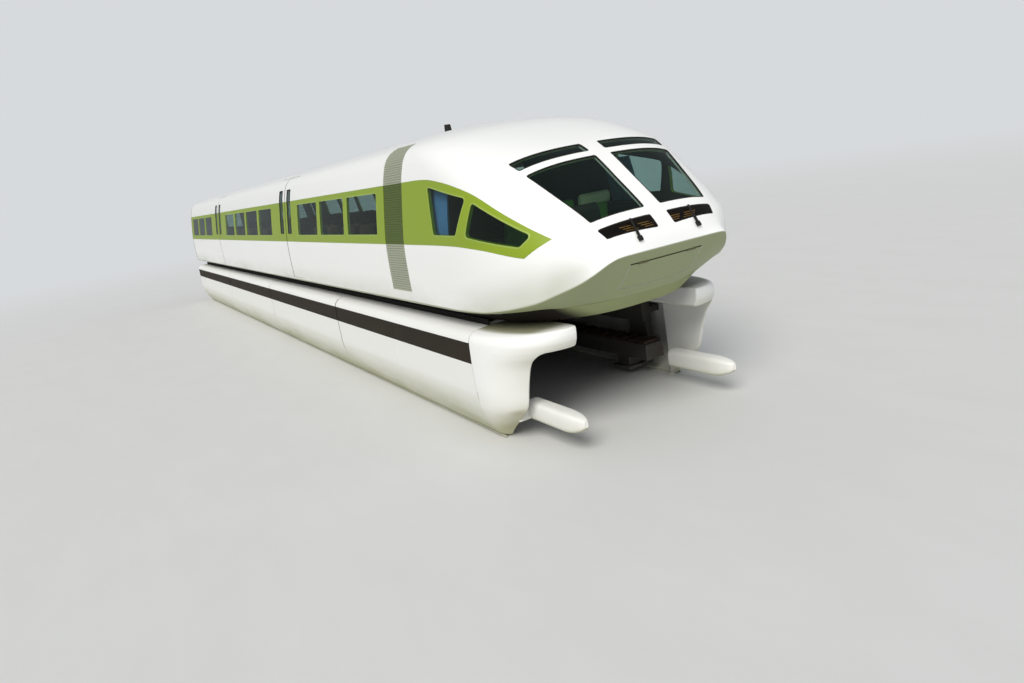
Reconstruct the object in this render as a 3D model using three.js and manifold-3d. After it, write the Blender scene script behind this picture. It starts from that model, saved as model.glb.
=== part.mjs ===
// End car of a magnetic levitation train, in millimetres.
// +X points to the nose, +Y to the left side, +Z up. The origin lies on the floor under
// the middle of the car, at the height of the lowest edge of the skirts.

import * as THREE from 'three';
import { mergeVertices } from 'three/addons/utils/BufferGeometryUtils.js';
import Module from 'manifold-3d';

const wasm = await Module();
wasm.setup();

// Driving dimensions
const carLength = 27100;
const tipX = carLength / 2;
const rearX = -carLength / 2;
const fitGap = 0.3;
const wallThickness = 80;
const glassThickness = 10;

const bodyBottomZ = 1780;
const panBottomZ = 1600;
const floorTopZ = 1950;
const bandBottomZ = 2655;
const bandTopZ = 3530;
const bodyRearX = rearX + 200;
const cutFloorZ = 1700;
const cutCeilingZ = 4400;
const noseOnlyX = 9000;

const skirtHalfWidth = 1850;
const skirtFrontX = tipX - 2030;
const slotHalfWidth = 1500;
const armBottomZ = 1285;

const doorCentres = { front: 2730, rear: -6630 };
const doorHalfWidth = 745;
const doorBottomZ = 1840;
const doorTopZ = 4020;
const leafWindow = { offset: 350, halfWidth: 160, bottom: 2830, top: 3780 };

// Flap in the underside of the nose: its hinge line lies on the skin, and it hangs from there
// down the slope of the nose. Leaf and shell have hinge barrels side by side on that line.
const flap = {
  hingeX: 13427, hingeZ: 2207, slopeX: 0.652, slopeZ: 0.758, length: 414, halfWidth: 560,
  thickness: 40, sideGap: 8, topGap: 8, ownTopGap: 3,
};
const flapBarrel = { radius: 10, from: 300, to: 380, shellTo: 440, tabDepth: 20, tabLength: 32, room: 5 };

// Lamp wipers: shaft place, lean of the blade, and the boss of the shell that carries each
const wiper = {
  x: 13518, y: 445, z: 2500, leanDegrees: 33, length: 270, halfWidth: 12, depth: 12,
  footHalfWidth: 24, footBack: 10, bossRadius: 20, bossDepth: 80,
};

const louvreStartX = 9040;
const louvreEndX = 9790;
const louvreBottomZ = 1950;

// The body's outer surface. Each row is one line along the body, from its bottom edge up to
// the crown of the roof. Along the parallel body the line lies at halfWidth and z. From
// startX it bends in, as a rounded corner of the given power, to meet the centre line at
// noseX and noseZ. The second row is drawn on to the crease under the nose, and the third a
// part of the way.
const bodyRows = [
  { halfWidth: 1767, z: 1780, noseX: 13060, noseZ: 1780, startX: 11000, power: 2.3, pull: 0 },
  { halfWidth: 1786, z: 1800, noseX: tipX, noseZ: 2350, startX: 11000, power: 3, pull: 1 },
  { halfWidth: 1787, z: 2100, noseX: 13530, noseZ: 2440, startX: 11000, power: 3, pull: 0.3 },
  { halfWidth: 1775, z: 2520, noseX: 13480, noseZ: 2560, startX: 11000, power: 3, pull: 0 },
  { halfWidth: 1762, z: 2680, noseX: 13280, noseZ: 2790, startX: 11000, power: 3, pull: 0 },
  { halfWidth: 1705, z: 3050, noseX: 12870, noseZ: 3140, startX: 11000, power: 3, pull: 0 },
  { halfWidth: 1645, z: 3380, noseX: 12460, noseZ: 3470, startX: 10900, power: 3, pull: 0 },
  { halfWidth: 1618, z: 3530, noseX: 12200, noseZ: 3630, startX: 10700, power: 2.95, pull: 0 },
  { halfWidth: 1579, z: 3680, noseX: 11880, noseZ: 3770, startX: 10400, power: 2.85, pull: 0 },
  { halfWidth: 1515, z: 3850, noseX: 11480, noseZ: 3910, startX: 10100, power: 2.7, pull: 0 },
  { halfWidth: 1400, z: 3980, noseX: 11100, noseZ: 4020, startX: 9800, power: 2.5, pull: 0 },
  { halfWidth: 1200, z: 4065, noseX: 10750, noseZ: 4090, startX: 9500, power: 2.35, pull: 0 },
  { halfWidth: 900, z: 4130, noseX: 10300, noseZ: 4140, startX: 9300, power: 2.2, pull: 0 },
  { halfWidth: 500, z: 4180, noseX: 9850, noseZ: 4182, startX: 9100, power: 2, pull: 0 },
  { halfWidth: 0, z: 4200, noseX: 9000, noseZ: 4200, startX: 9000, power: 2, pull: 0 },
];
const creaseRow = bodyRows[1];

// The crease as [x, y, z]: level across the front, then down and back along each side
const creaseLine = [
  [11000, 1786, 1800], [11800, 1735, 1800], [12300, 1640, 1840], [12620, 1530, 1890],
  [12820, 1440, 1935], [12985, 1325, 2000], [13214, 1152, 2100], [13372, 1023, 2200],
  [13493, 906, 2300], [13545, 830, 2340], [tipX, 700, 2350], [tipX, 0, 2350],
];
const noseSteps = 9;

// Windows of the parallel body: first and last x of each group, and the number of panes
const windowGroups = {
  front: { from: 3800, to: 8710, panes: 3 },
  middle: { from: -5210, to: 1320, panes: 4 },
  rear: { from: -12900, to: -8050, panes: 3 },
};
const windowPost = 210;
const windowBottomZ = 2800;
const windowTopZ = 3430;

// Windscreen plane: outlines are given as [y, s], s running up the slope from its origin
const screenOrigin = new THREE.Vector3(12900, 0, 3100);
const screenSlope = THREE.MathUtils.degToRad(40);
const screenReach = { inward: 260, outward: 500 };
const screenOutlines = {
  mainPane: [[118, -465], [876, -460], [1116, 565], [116, 577]],
  upperPane: [[122, 690], [1135, 680], [1170, 880], [135, 890]],
  lampPanel: [[120, -780], [815, -730], [870, -578], [120, -584]],
};

const screenSheet = [[60, -520], [900, -515], [1190, 700], [1220, 930], [60, 930]];
const lampPanelInsets = { outer: 10, inner: 150, bottomZ: 1790 };

// Side outlines of the cab as [x, z]: the pointed green band, its two panes and their glass
const cabBandOutline = [
  [louvreEndX, bandBottomZ], [11350, 2650], [12050, 2600], [12710, 2475], [13020, 2660],
  [11800, 3290], [11340, 3410], [10620, 3517], [10100, bandTopZ], [louvreEndX, bandTopZ],
];
const cabPaneOutlines = [
  [[10850, 2790], [11510, 2780], [11740, 3220], [10690, 3420]],
  [[11750, 2760], [12700, 2605], [12810, 2718], [11870, 3160]],
];
const cabGlassOutline = [[10500, 2740], [12780, 2560], [12880, 2730], [11800, 3240], [10600, 3460]];
const cabBandInnerY = 700;

// Turns a closed three.js geometry into a solid for cutting and joining
function solidOf(geometry) {
  const bare = geometry.clone();
  bare.deleteAttribute('normal');
  bare.deleteAttribute('uv');
  const merged = mergeVertices(bare, 1e-3);
  const mesh = new wasm.Mesh({
    numProp: 3,
    vertProperties: new Float32Array(merged.attributes.position.array),
    triVerts: new Uint32Array(merged.index.array),
  });
  return new wasm.Manifold(mesh);
}

// Turns a solid back into a three.js geometry
function geometryOf(solid) {
  const mesh = solid.getMesh();
  const geometry = new THREE.BufferGeometry();
  geometry.setAttribute('position', new THREE.BufferAttribute(mesh.vertProperties, 3));
  geometry.setIndex(new THREE.BufferAttribute(mesh.triVerts, 1));
  geometry.computeVertexNormals();
  return geometry;
}

function boxGeometry(x0, x1, y0, y1, z0, z1) {
  const geometry = new THREE.BoxGeometry(x1 - x0, y1 - y0, z1 - z0);
  geometry.translate((x0 + x1) / 2, (y0 + y1) / 2, (z0 + z1) / 2);
  return geometry;
}

function box(x0, x1, y0, y1, z0, z1) {
  return solidOf(boxGeometry(x0, x1, y0, y1, z0, z1));
}

function extrude(points, depth, basis) {
  const shape = new THREE.Shape(points.map(([a, b]) => new THREE.Vector2(a, b)));
  const geometry = new THREE.ExtrudeGeometry(shape, { depth, bevelEnabled: false });
  geometry.applyMatrix4(basis);
  return solidOf(geometry);
}

// Extrudes a [y, z] outline along x
function alongX(points, x0, x1) {
  const basis = new THREE.Matrix4().makeBasis(
    new THREE.Vector3(0, 1, 0), new THREE.Vector3(0, 0, 1), new THREE.Vector3(1, 0, 0));
  return extrude(points, x1 - x0, basis.setPosition(x0, 0, 0));
}

// Extrudes an [x, z] outline along y
function alongY(points, y0, y1) {
  const basis = new THREE.Matrix4().makeBasis(
    new THREE.Vector3(1, 0, 0), new THREE.Vector3(0, 0, 1), new THREE.Vector3(0, -1, 0));
  return extrude(points, y1 - y0, basis.setPosition(0, y1, 0));
}

// Extrudes a [y, s] outline of the windscreen plane square to that plane, both ways
function throughScreen(points) {
  const upSlope = new THREE.Vector3(-Math.cos(screenSlope), 0, Math.sin(screenSlope));
  const outward = new THREE.Vector3(Math.sin(screenSlope), 0, Math.cos(screenSlope));
  const basis = new THREE.Matrix4().makeBasis(new THREE.Vector3(0, 1, 0), upSlope, outward);
  const start = screenOrigin.clone().addScaledVector(outward, -screenReach.inward);
  return extrude(points, screenReach.inward + screenReach.outward, basis.setPosition(start));
}

function mirrored(points, side) {
  return side > 0 ? points : points.map(([a, b]) => [-a, b]).reverse();
}

// Moves each corner of a convex outline outwards from its middle by about the distance given
function grown(points, distance) {
  const count = points.length;
  const middle = points.reduce(([a, b], [c, d]) => [a + c / count, b + d / count], [0, 0]);
  return points.map(([a, b]) => {
    const reach = Math.hypot(a - middle[0], b - middle[1]);
    const scale = 1 + distance / reach;
    return [middle[0] + (a - middle[0]) * scale, middle[1] + (b - middle[1]) * scale];
  });
}

// Joins two outlines of equal length at two heights into one closed solid
function loftBetween(lower, lowerZ, upper, upperZ) {
  const count = lower.length;
  const positions = [];
  lower.forEach(([x, y]) => positions.push(x, y, lowerZ));
  upper.forEach(([x, y]) => positions.push(x, y, upperZ));
  const capTriangles = THREE.ShapeUtils.triangulateShape(
    lower.map(([x, y]) => new THREE.Vector2(x, y)), []);
  const index = [];
  for (const [a, b, c] of capTriangles) {
    index.push(a, c, b);
    index.push(a + count, b + count, c + count);
  }
  for (let i = 0; i < count; i += 1) {
    const next = (i + 1) % count;
    index.push(i, next, next + count);
    index.push(i, next + count, i + count);
  }
  const geometry = new THREE.BufferGeometry();
  geometry.setAttribute('position', new THREE.Float32BufferAttribute(positions, 3));
  geometry.setIndex(index);
  return solidOf(geometry);
}

// Unit normal, pointing outwards and upwards, of a chain of [out, z] points at one of them
function chainNormal(chain, i) {
  const before = chain[Math.max(i - 1, 0)];
  const after = chain[Math.min(i + 1, chain.length - 1)];
  const run = after[0] - before[0];
  const rise = after[1] - before[1];
  const length = Math.hypot(run, rise);
  return [rise / length, -run / length];
}

// Shares of a rounded corner's reach forwards and outwards at an angle from its side
function cornerShares(angle, power) {
  const last = angle > Math.PI / 2 - 1e-9;
  return {
    forward: last ? 1 : Math.sin(angle) ** (2 / power),
    outward: last ? 0 : Math.cos(angle) ** (2 / power),
  };
}

// Point [x, y, z] of a row of the body's surface at an angle of its corner
function rowPoint(row, angle) {
  const { forward, outward } = cornerShares(angle, row.power);
  return [
    row.startX + (row.noseX - row.startX) * forward,
    row.halfWidth * outward,
    row.z + (row.noseZ - row.z) * forward ** 1.5,
  ];
}

// How far the crease lies from its row at an angle, as [x, z]
function creaseShift(angle) {
  const turnOf = ([, y]) => Math.acos((y / creaseRow.halfWidth) ** (creaseRow.power / 2));
  const last = creaseLine.length - 1;
  const i = Math.max(creaseLine.findIndex((place) => turnOf(place) >= angle - 1e-9), 1);
  const [before, after] = [creaseLine[Math.min(i, last) - 1], creaseLine[Math.min(i, last)]];
  const share = (angle - turnOf(before)) / (turnOf(after) - turnOf(before));
  const [x, , z] = rowPoint(creaseRow, angle);
  return [
    before[0] + (after[0] - before[0]) * share - x,
    before[2] + (after[2] - before[2]) * share - z,
  ];
}

// The rows of the body's surface, moved inwards by the inset, with the first at bottomZ
function insetRows(inset, bottomZ) {
  const sides = bodyRows.map((row) => [row.halfWidth, row.z]);
  const noses = bodyRows.map((row) => [row.noseX, row.noseZ]);
  const last = bodyRows.length - 1;
  const rows = bodyRows.map((row, i) => {
    const [sideOut, sideUp] = i === last ? [0, 1] : chainNormal(sides, i);
    const [noseOut, noseUp] = i === last ? [0, 1] : chainNormal(noses, i);
    return {
      ...row,
      halfWidth: i === last ? 0 : row.halfWidth - inset * sideOut,
      z: row.z - inset * sideUp,
      noseX: i === last ? row.startX : row.noseX - inset * noseOut,
      noseZ: row.noseZ - inset * noseUp,
    };
  });
  const [low, next] = rows;
  const slope = (next.noseX - low.noseX) / (next.noseZ - low.noseZ);
  low.noseX += (bottomZ - low.noseZ) * slope;
  low.z = bottomZ;
  low.noseZ = bottomZ;
  return rows;
}

// Closed solid of the body's surface moved inwards by the inset, from endX to the nose
function bodySolid(inset, endX, bottomZ) {
  const rows = insetRows(inset, bottomZ);
  const columns = noseSteps + 2;
  const point = (row, column, side) => {
    if (column === 0) {
      return [endX, side * row.halfWidth, row.z];
    }
    const angle = ((column - 1) / noseSteps) * (Math.PI / 2);
    const [x, y, z] = rowPoint(row, angle);
    const [shiftX, shiftZ] = row.pull > 0 ? creaseShift(angle) : [0, 0];
    return [x + shiftX * row.pull, side * y, z + shiftZ * row.pull];
  };
  const positions = [];
  const addTriangle = (a, b, c) => positions.push(...a, ...b, ...c);
  const addQuad = (a, b, c, d) => {
    addTriangle(a, b, c);
    addTriangle(a, c, d);
  };
  for (let i = 0; i < rows.length - 1; i += 1) {
    for (let j = 0; j < columns - 1; j += 1) {
      const right = [[i, j], [i, j + 1], [i + 1, j + 1], [i + 1, j]];
      addQuad(...right.map(([r, c]) => point(rows[r], c, -1)));
      addQuad(...right.reverse().map(([r, c]) => point(rows[r], c, 1)));
    }
    const [here, above] = [rows[i], rows[i + 1]];
    addQuad(point(here, 0, 1), point(here, 0, -1), point(above, 0, -1), point(above, 0, 1));
  }
  for (let j = 0; j < columns - 1; j += 1) {
    const [low] = rows;
    addQuad(point(low, j, -1), point(low, j, 1), point(low, j + 1, 1), point(low, j + 1, -1));
  }
  const geometry = new THREE.BufferGeometry();
  geometry.setAttribute('position', new THREE.Float32BufferAttribute(positions, 3));
  return solidOf(withoutSlivers(geometry));
}

// Drops the triangles that have two corners in one place, at the poles and the centre line
function withoutSlivers(geometry) {
  const merged = mergeVertices(geometry, 1e-2);
  const index = Array.from(merged.index.array);
  const kept = [];
  for (let i = 0; i < index.length; i += 3) {
    const [a, b, c] = index.slice(i, i + 3);
    if (a !== b && b !== c && a !== c) {
      kept.push(a, b, c);
    }
  }
  merged.setIndex(kept);
  return merged;
}

// Materials, one for each finish of the car
const finishes = {
  whitePaint: { color: 0xe9eae4, roughness: 0.32, metalness: 0.0 },
  greenPaint: { color: 0x7f9a2c, roughness: 0.35, metalness: 0.0 },
  louvreMetal: { color: 0x9aa08c, roughness: 0.5, metalness: 0.5 },
  darkGlass: { color: 0x2f3b33, roughness: 0.08, metalness: 0.0 },
  lampDark: { color: 0x2a2118, roughness: 0.2, metalness: 0.0 },
  underframe: { color: 0x5a5d55, roughness: 0.6, metalness: 0.4 },
  bellows: { color: 0x24241f, roughness: 0.85, metalness: 0.0 },
  chassisSteel: { color: 0x4c4f4d, roughness: 0.55, metalness: 0.7 },
  magnet: { color: 0x33373a, roughness: 0.5, metalness: 0.5 },
  seatFabric: { color: 0x4d7a3c, roughness: 0.9, metalness: 0.0 },
  cabPlastic: { color: 0x7d9a6a, roughness: 0.55, metalness: 0.0 },
  panelLining: { color: 0xb9bba9, roughness: 0.7, metalness: 0.0 },
  blackPlastic: { color: 0x1d1d1b, roughness: 0.5, metalness: 0.0 },
};

const car = new THREE.Group();

function addNode(name, finish, solid) {
  const material = new THREE.MeshStandardMaterial(finishes[finish]);
  const mesh = new THREE.Mesh(geometryOf(solid), material);
  mesh.name = name;
  car.add(mesh);
}

const sideNames = [['left', 1], ['right', -1]];
const farOut = 2600;

// A box that holds one side of the car, away from the centre line
function sideBox(side, x0, x1, z0, z1, inner = 600) {
  return side > 0 ? box(x0, x1, inner, farOut, z0, z1) : box(x0, x1, -farOut, -inner, z0, z1);
}

// Everything inside the wall, cut short below so that the shell is open underneath
const insideWall = bodySolid(wallThickness, rearX - 500, bodyBottomZ - 80);
const insideLining = bodySolid(wallThickness + fitGap, rearX - 500, bodyBottomZ - 80);
const insideGlass = bodySolid(wallThickness + fitGap + glassThickness, rearX - 500, bodyBottomZ - 80);
const glassSheet = insideLining.subtract(insideGlass);
const shell = bodySolid(0, bodyRearX, bodyBottomZ).subtract(insideWall);

function doorBox(side, centre, grow) {
  return sideBox(side, centre - doorHalfWidth - grow, centre + doorHalfWidth + grow,
    doorBottomZ - grow, doorTopZ + grow, 1200);
}

const doorHoles = sideNames.flatMap(([, side]) => (
  Object.values(doorCentres).map((centre) => doorBox(side, centre, 0))));

function subtractAll(solid, cutters) {
  return cutters.reduce((rest, cutter) => rest.subtract(cutter), solid);
}

// One hole for each pane of a group of side windows
function windowHoles(group, side) {
  const pitch = (group.to - group.from + windowPost) / group.panes;
  return Array.from({ length: group.panes }, (_, i) => {
    const from = group.from + i * pitch;
    return sideBox(side, from, from + pitch - windowPost, windowBottomZ, windowTopZ);
  });
}

// Roof, lower sides and the louvred ring behind the cab
function addShellSections() {
  const frontEdge = louvreStartX - fitGap;
  const roofBox = box(bodyRearX - 1, frontEdge, -farOut, farOut, bandTopZ + fitGap, cutCeilingZ);
  addNode('roof', 'whitePaint', subtractAll(shell.intersect(roofBox), doorHoles));
  for (const [name, side] of sideNames) {
    const tall = sideBox(side, bodyRearX - 1, frontEdge, cutFloorZ, bandBottomZ - fitGap);
    const low = sideBox(side, louvreStartX - 1, louvreEndX - fitGap, cutFloorZ, louvreBottomZ - fitGap);
    const lower = shell.intersect(tall.add(low));
    addNode(`side_lower_${name}`, 'whitePaint', subtractAll(lower, doorHoles));
  }
  const ringBox = box(louvreStartX, louvreEndX - fitGap, -farOut, farOut, louvreBottomZ, cutCeilingZ);
  addNode('louvre_ring', 'louvreMetal', shell.intersect(ringBox));
}

// Green window bands between the doors, each with its sheet of glass behind
function addWindowBands() {
  const ends = {
    front: [doorCentres.front + doorHalfWidth + fitGap, louvreStartX - fitGap],
    middle: [doorCentres.rear + doorHalfWidth + fitGap, doorCentres.front - doorHalfWidth - fitGap],
    rear: [bodyRearX - 1, doorCentres.rear - doorHalfWidth - fitGap],
  };
  for (const [place, group] of Object.entries(windowGroups)) {
    const [x0, x1] = ends[place];
    for (const [name, side] of sideNames) {
      const band = shell.intersect(sideBox(side, x0, x1, bandBottomZ, bandTopZ));
      addNode(`band_${place}_${name}`, 'greenPaint', subtractAll(band, windowHoles(group, side)));
      const glass = sideBox(side, group.from - 60, group.to + 60, windowBottomZ - 50, windowTopZ + 50);
      addNode(`glass_${place}_${name}`, 'darkGlass', glassSheet.intersect(glass));
    }
  }
}

// Two leaves for each doorway, with one tall narrow window in each
function addDoors() {
  for (const [place, centre] of Object.entries(doorCentres)) {
    for (const [name, side] of sideNames) {
      const pair = shell.intersect(doorBox(side, centre, -fitGap));
      for (const [leaf, way] of [['fore', 1], ['aft', -1]]) {
        const inner = centre + way * fitGap / 2;
        const outer = centre + way * (doorHalfWidth + 50);
        const half = sideBox(side, Math.min(inner, outer), Math.max(inner, outer), cutFloorZ, cutCeilingZ);
        const middle = centre + way * leafWindow.offset;
        const hole = sideBox(side, middle - leafWindow.halfWidth, middle + leafWindow.halfWidth,
          leafWindow.bottom, leafWindow.top);
        addNode(`door_${place}_${name}_${leaf}`, 'whitePaint', pair.intersect(half).subtract(hole));
      }
    }
  }
}

// Point in the frame of the flap's hinge line: up the slope of the nose, and out from it
function onFlap(up, out) {
  return [
    flap.hingeX + up * flap.slopeX + out * flap.slopeZ,
    flap.hingeZ + up * flap.slopeZ - out * flap.slopeX,
  ];
}

// Prism across the car over a rectangle of the flap's frame
function flapPrism(down, up, inward, outward, y0, y1) {
  const outline = [[-down, -inward], [-down, outward], [up, outward], [up, -inward]];
  return alongY(outline.map(([a, b]) => onFlap(a, b)), y0, y1);
}

function hingeBarrel(y0, y1) {
  const geometry = new THREE.CylinderGeometry(flapBarrel.radius, flapBarrel.radius, y1 - y0, 12);
  geometry.translate(flap.hingeX, (y0 + y1) / 2, flap.hingeZ);
  return solidOf(geometry);
}

// The shell with its flap opening and hinge halves, and the flap that hangs in it
function hingedFlap(nose) {
  const reach = 200;
  const { radius, from, to, shellTo, tabDepth, tabLength, room } = flapBarrel;
  const opening = flapPrism(flap.length, flap.topGap, reach, reach, -flap.halfWidth, flap.halfWidth);
  const inner = flap.halfWidth - flap.sideGap;
  const leafSpace = flapPrism(flap.length - flap.sideGap, -flap.ownTopGap, reach, reach, -inner, inner);
  const insideLeaf = bodySolid(flap.thickness, noseOnlyX - 100, bodyBottomZ - 80);
  const leafSheet = bodySolid(0, noseOnlyX, bodyBottomZ).subtract(insideLeaf);
  let noseShell = nose.subtract(opening);
  let leaf = leafSheet.intersect(leafSpace);
  for (const side of [1, -1]) {
    const span = (near, far) => (side > 0 ? [near, far] : [-far, -near]);
    const shellSpan = span(to + fitGap, shellTo);
    const leafRoom = radius + room;
    const shellNotch = flapPrism(0, leafRoom, tabDepth + room, reach, ...span(from - room, to + fitGap));
    const shellTab = flapPrism(0, tabLength, tabDepth, 0, ...shellSpan);
    noseShell = noseShell.subtract(shellNotch).add(shellTab).add(hingeBarrel(...shellSpan));
    const leafNotch = flapPrism(leafRoom, reach, reach, reach, ...span(to, shellTo + room));
    const leafTab = flapPrism(tabLength, 0, tabDepth, 0, ...span(from, to));
    leaf = leaf.subtract(leafNotch).add(leafTab).add(hingeBarrel(...span(from, to)));
  }
  return [noseShell, leaf];
}

function bandPrism(side, outline) {
  return side > 0 ? alongY(outline, cabBandInnerY, farOut) : alongY(outline, -farOut, -cabBandInnerY);
}

// Nose shell with its windscreen, lamp panels, green side bands and flap
function addNose() {
  const noseBox = box(louvreEndX, tipX + 200, -farOut, farOut, cutFloorZ, cutCeilingZ);
  const nose = shell.intersect(noseBox);
  const { outer, inner, bottomZ } = lampPanelInsets;
  const lampSheet = bodySolid(outer, noseOnlyX, bottomZ)
    .subtract(bodySolid(inner, noseOnlyX - 100, bottomZ - 10));
  const cutters = [];
  for (const [name, side] of sideNames) {
    const band = bandPrism(side, cabBandOutline);
    cutters.push(bandPrism(side, grown(cabBandOutline, fitGap)));
    const panes = cabPaneOutlines.map((outline) => bandPrism(side, outline));
    addNode(`cab_band_${name}`, 'greenPaint', subtractAll(nose.intersect(band), panes));
    addNode(`cab_side_glass_${name}`, 'darkGlass', glassSheet.intersect(bandPrism(side, cabGlassOutline)));

    const { mainPane, upperPane, lampPanel } = screenOutlines;
    const holes = [mainPane, upperPane, lampPanel].map((outline) => throughScreen(mirrored(outline, side)));
    cutters.push(...holes);
    const screen = throughScreen(mirrored(screenSheet, side));
    addNode(`windscreen_${name}`, 'darkGlass', glassSheet.intersect(screen));
    const lampHole = throughScreen(mirrored(grown(lampPanel, -fitGap * 2), side));
    addNode(`lamp_panel_${name}`, 'lampDark', lampSheet.intersect(lampHole));
  }
  let [noseShell, noseFlap] = hingedFlap(subtractAll(nose, cutters));
  for (const [, side] of sideNames) {
    noseShell = noseShell.add(wiperBoss(side));
  }
  addNode('nose_shell', 'whitePaint', noseShell);
  addNode('nose_flap', 'whitePaint', noseFlap);
}

// Outline in plan, from the rear round the front and back, with a rounded corner on each side
function planOutline({ halfWidth, startX, frontX, power }, endX) {
  const steps = 8;
  const half = Array.from({ length: steps + 1 }, (_, i) => {
    const { forward, outward } = cornerShares((i / steps) * (Math.PI / 2), power);
    return [startX + (frontX - startX) * forward, halfWidth * outward];
  });
  const right = half.map(([x, y]) => [x, -y]);
  const left = half.slice(0, -1).reverse();
  return [[endX, -halfWidth], ...right, ...left, [endX, halfWidth]];
}

const panPlans = {
  lower: { halfWidth: 1420, startX: 10800, frontX: 12880, power: 3 },
  upper: { halfWidth: 1500, startX: 10900, frontX: 13040, power: 3 },
};

// Floor inside the walls, joined to the pan that closes the body underneath
function addUnderframe() {
  const endX = bodyRearX + 60;
  const lower = planOutline(panPlans.lower, endX);
  const upper = planOutline(panPlans.upper, endX);
  const pan = loftBetween(lower, panBottomZ, upper, bodyBottomZ - fitGap);
  const floorBox = box(bodyRearX, tipX, -farOut, farOut, bodyBottomZ - 20, floorTopZ);
  addNode('underframe', 'underframe', pan.add(insideLining.intersect(floorBox)));
}

const gangway = {
  doorHalfWidth: 480, holeHalfWidth: 430, topZ: 3760, doorThickness: 45, doorBehindWall: 8,
  railFrom: -500, railTo: 1400, railAbove: 60, railHeight: 40, frameInset: 15, frameDepth: 60,
};
const cabWall = { x: 9950, thickness: 50, doorHalfWidth: 380, doorTopZ: 3850 };

// Rear wall, the bellows frame outside it, the sliding door and the wall behind the cab
function addBulkheads() {
  const above = floorTopZ + fitGap;
  const wallInner = bodyRearX + 60;
  const { holeHalfWidth, topZ, railAbove } = gangway;
  const wall = insideLining.intersect(box(bodyRearX, wallInner, -farOut, farOut, above, cutCeilingZ));
  const hole = box(rearX, wallInner + 100, -holeHalfWidth, holeHalfWidth, above - 100, topZ - 50);
  const rail = box(wallInner - 10, wallInner + 60, gangway.railFrom, gangway.railTo,
    topZ + railAbove, topZ + railAbove + gangway.railHeight);
  addNode('rear_bulkhead', 'panelLining', wall.subtract(hole).add(rail));
  const doorX = wallInner + gangway.doorBehindWall;
  const doorBack = doorX + gangway.doorThickness;
  const door = box(doorX, doorBack, -gangway.doorHalfWidth, gangway.doorHalfWidth, floorTopZ + 10, topZ);
  const hanger = box(doorX + 5, doorBack - 5, -80, 80, topZ - 5, topZ + railAbove - fitGap);
  addNode('gangway_door', 'panelLining', door.add(hanger));
  const frameInside = bodySolid(gangway.frameInset + gangway.frameDepth, rearX - 500, bodyBottomZ - 80);
  const ring = bodySolid(gangway.frameInset, rearX, bodyBottomZ).subtract(frameInside);
  const ringEnds = box(rearX, bodyRearX - fitGap, -farOut, farOut, cutFloorZ, cutCeilingZ);
  addNode('gangway_bellows', 'bellows', ring.intersect(ringEnds));
  const { x, thickness, doorHalfWidth: reach } = cabWall;
  const partition = insideLining.intersect(box(x, x + thickness, -farOut, farOut, above, cutCeilingZ));
  const doorway = box(x - 50, x + 100, -reach, reach, above - 50, cabWall.doorTopZ);
  addNode('cab_partition', 'panelLining', partition.subtract(doorway));
}

const desk = {
  outline: [[12300, 0], [12900, 0], [12900, 610], [12600, 690], [12250, 570], [12250, 510]],
  halfWidth: 1150, wallRoom: 45, bottomZ: 1800,
};
const driverSeats = {
  outline: [[11150, 380], [11650, 380], [11650, 480], [11330, 500], [11200, 1110], [11100, 1110]],
  places: [-550, 550], halfWidth: 240, stem: { x0: 11280, x1: 11420, halfWidth: 60, top: 390 },
  plinth: { x0: 11200, x1: 11500, halfWidth: 720, height: 40 },
};

// Desk under the windscreen and two seats for the drivers, both given above the floor
function addCab() {
  const above = floorTopZ + fitGap;
  const onFloor = (outline) => outline.map(([x, height]) => [x, above + height]);
  const deskRoom = bodySolid(wallThickness + desk.wallRoom, noseOnlyX, desk.bottomZ);
  const deskBlock = alongY(onFloor(desk.outline), -desk.halfWidth, desk.halfWidth);
  addNode('drivers_desk', 'cabPlastic', deskBlock.intersect(deskRoom));
  const { plinth, stem } = driverSeats;
  let seats = box(plinth.x0, plinth.x1, -plinth.halfWidth, plinth.halfWidth, above, above + plinth.height);
  for (const y of driverSeats.places) {
    const reach = driverSeats.halfWidth;
    seats = seats.add(alongY(onFloor(driverSeats.outline), y - reach, y + reach));
    seats = seats.add(box(stem.x0, stem.x1, y - stem.halfWidth, y + stem.halfWidth,
      above + plinth.height / 2, above + stem.top));
  }
  addNode('drivers_seats', 'seatFabric', seats);
}

// Rows of passenger seats: the first x and the number of rows of each block
const seatBlocks = [
  { from: 3900, rows: 5 },
  { from: -5300, rows: 7 },
  { from: -12700, rows: 5 },
];
const seatPitch = 1010;
const seatSpan = { inner: 330, outer: 1560 };
const seatRail = { x0: -12800, x1: 8700, inner: 900, outer: 960, height: 30 };
const seatOutline = [[0, 380], [60, 320], [520, 350], [540, 440], [120, 450], [-20, 1100], [-90, 1100]];
const seatStem = { from: 150, to: 350, top: 380 };

function addPassengerSeats() {
  const above = floorTopZ + fitGap;
  for (const [name, side] of sideNames) {
    const across = (inner, outer) => (side > 0 ? [inner, outer] : [-outer, -inner]);
    const railY = across(seatRail.inner, seatRail.outer);
    let seats = box(seatRail.x0, seatRail.x1, ...railY, above, above + seatRail.height);
    for (const block of seatBlocks) {
      for (let i = 0; i < block.rows; i += 1) {
        const x = block.from + i * seatPitch;
        const row = seatOutline.map(([dx, height]) => [x + dx, above + height]);
        seats = seats.add(alongY(row, ...across(seatSpan.inner, seatSpan.outer)));
        seats = seats.add(box(x + seatStem.from, x + seatStem.to, ...railY,
          above + seatRail.height - 10, above + seatStem.top));
      }
    }
    addNode(`passenger_seats_${name}`, 'seatFabric', seats);
  }
}

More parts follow.
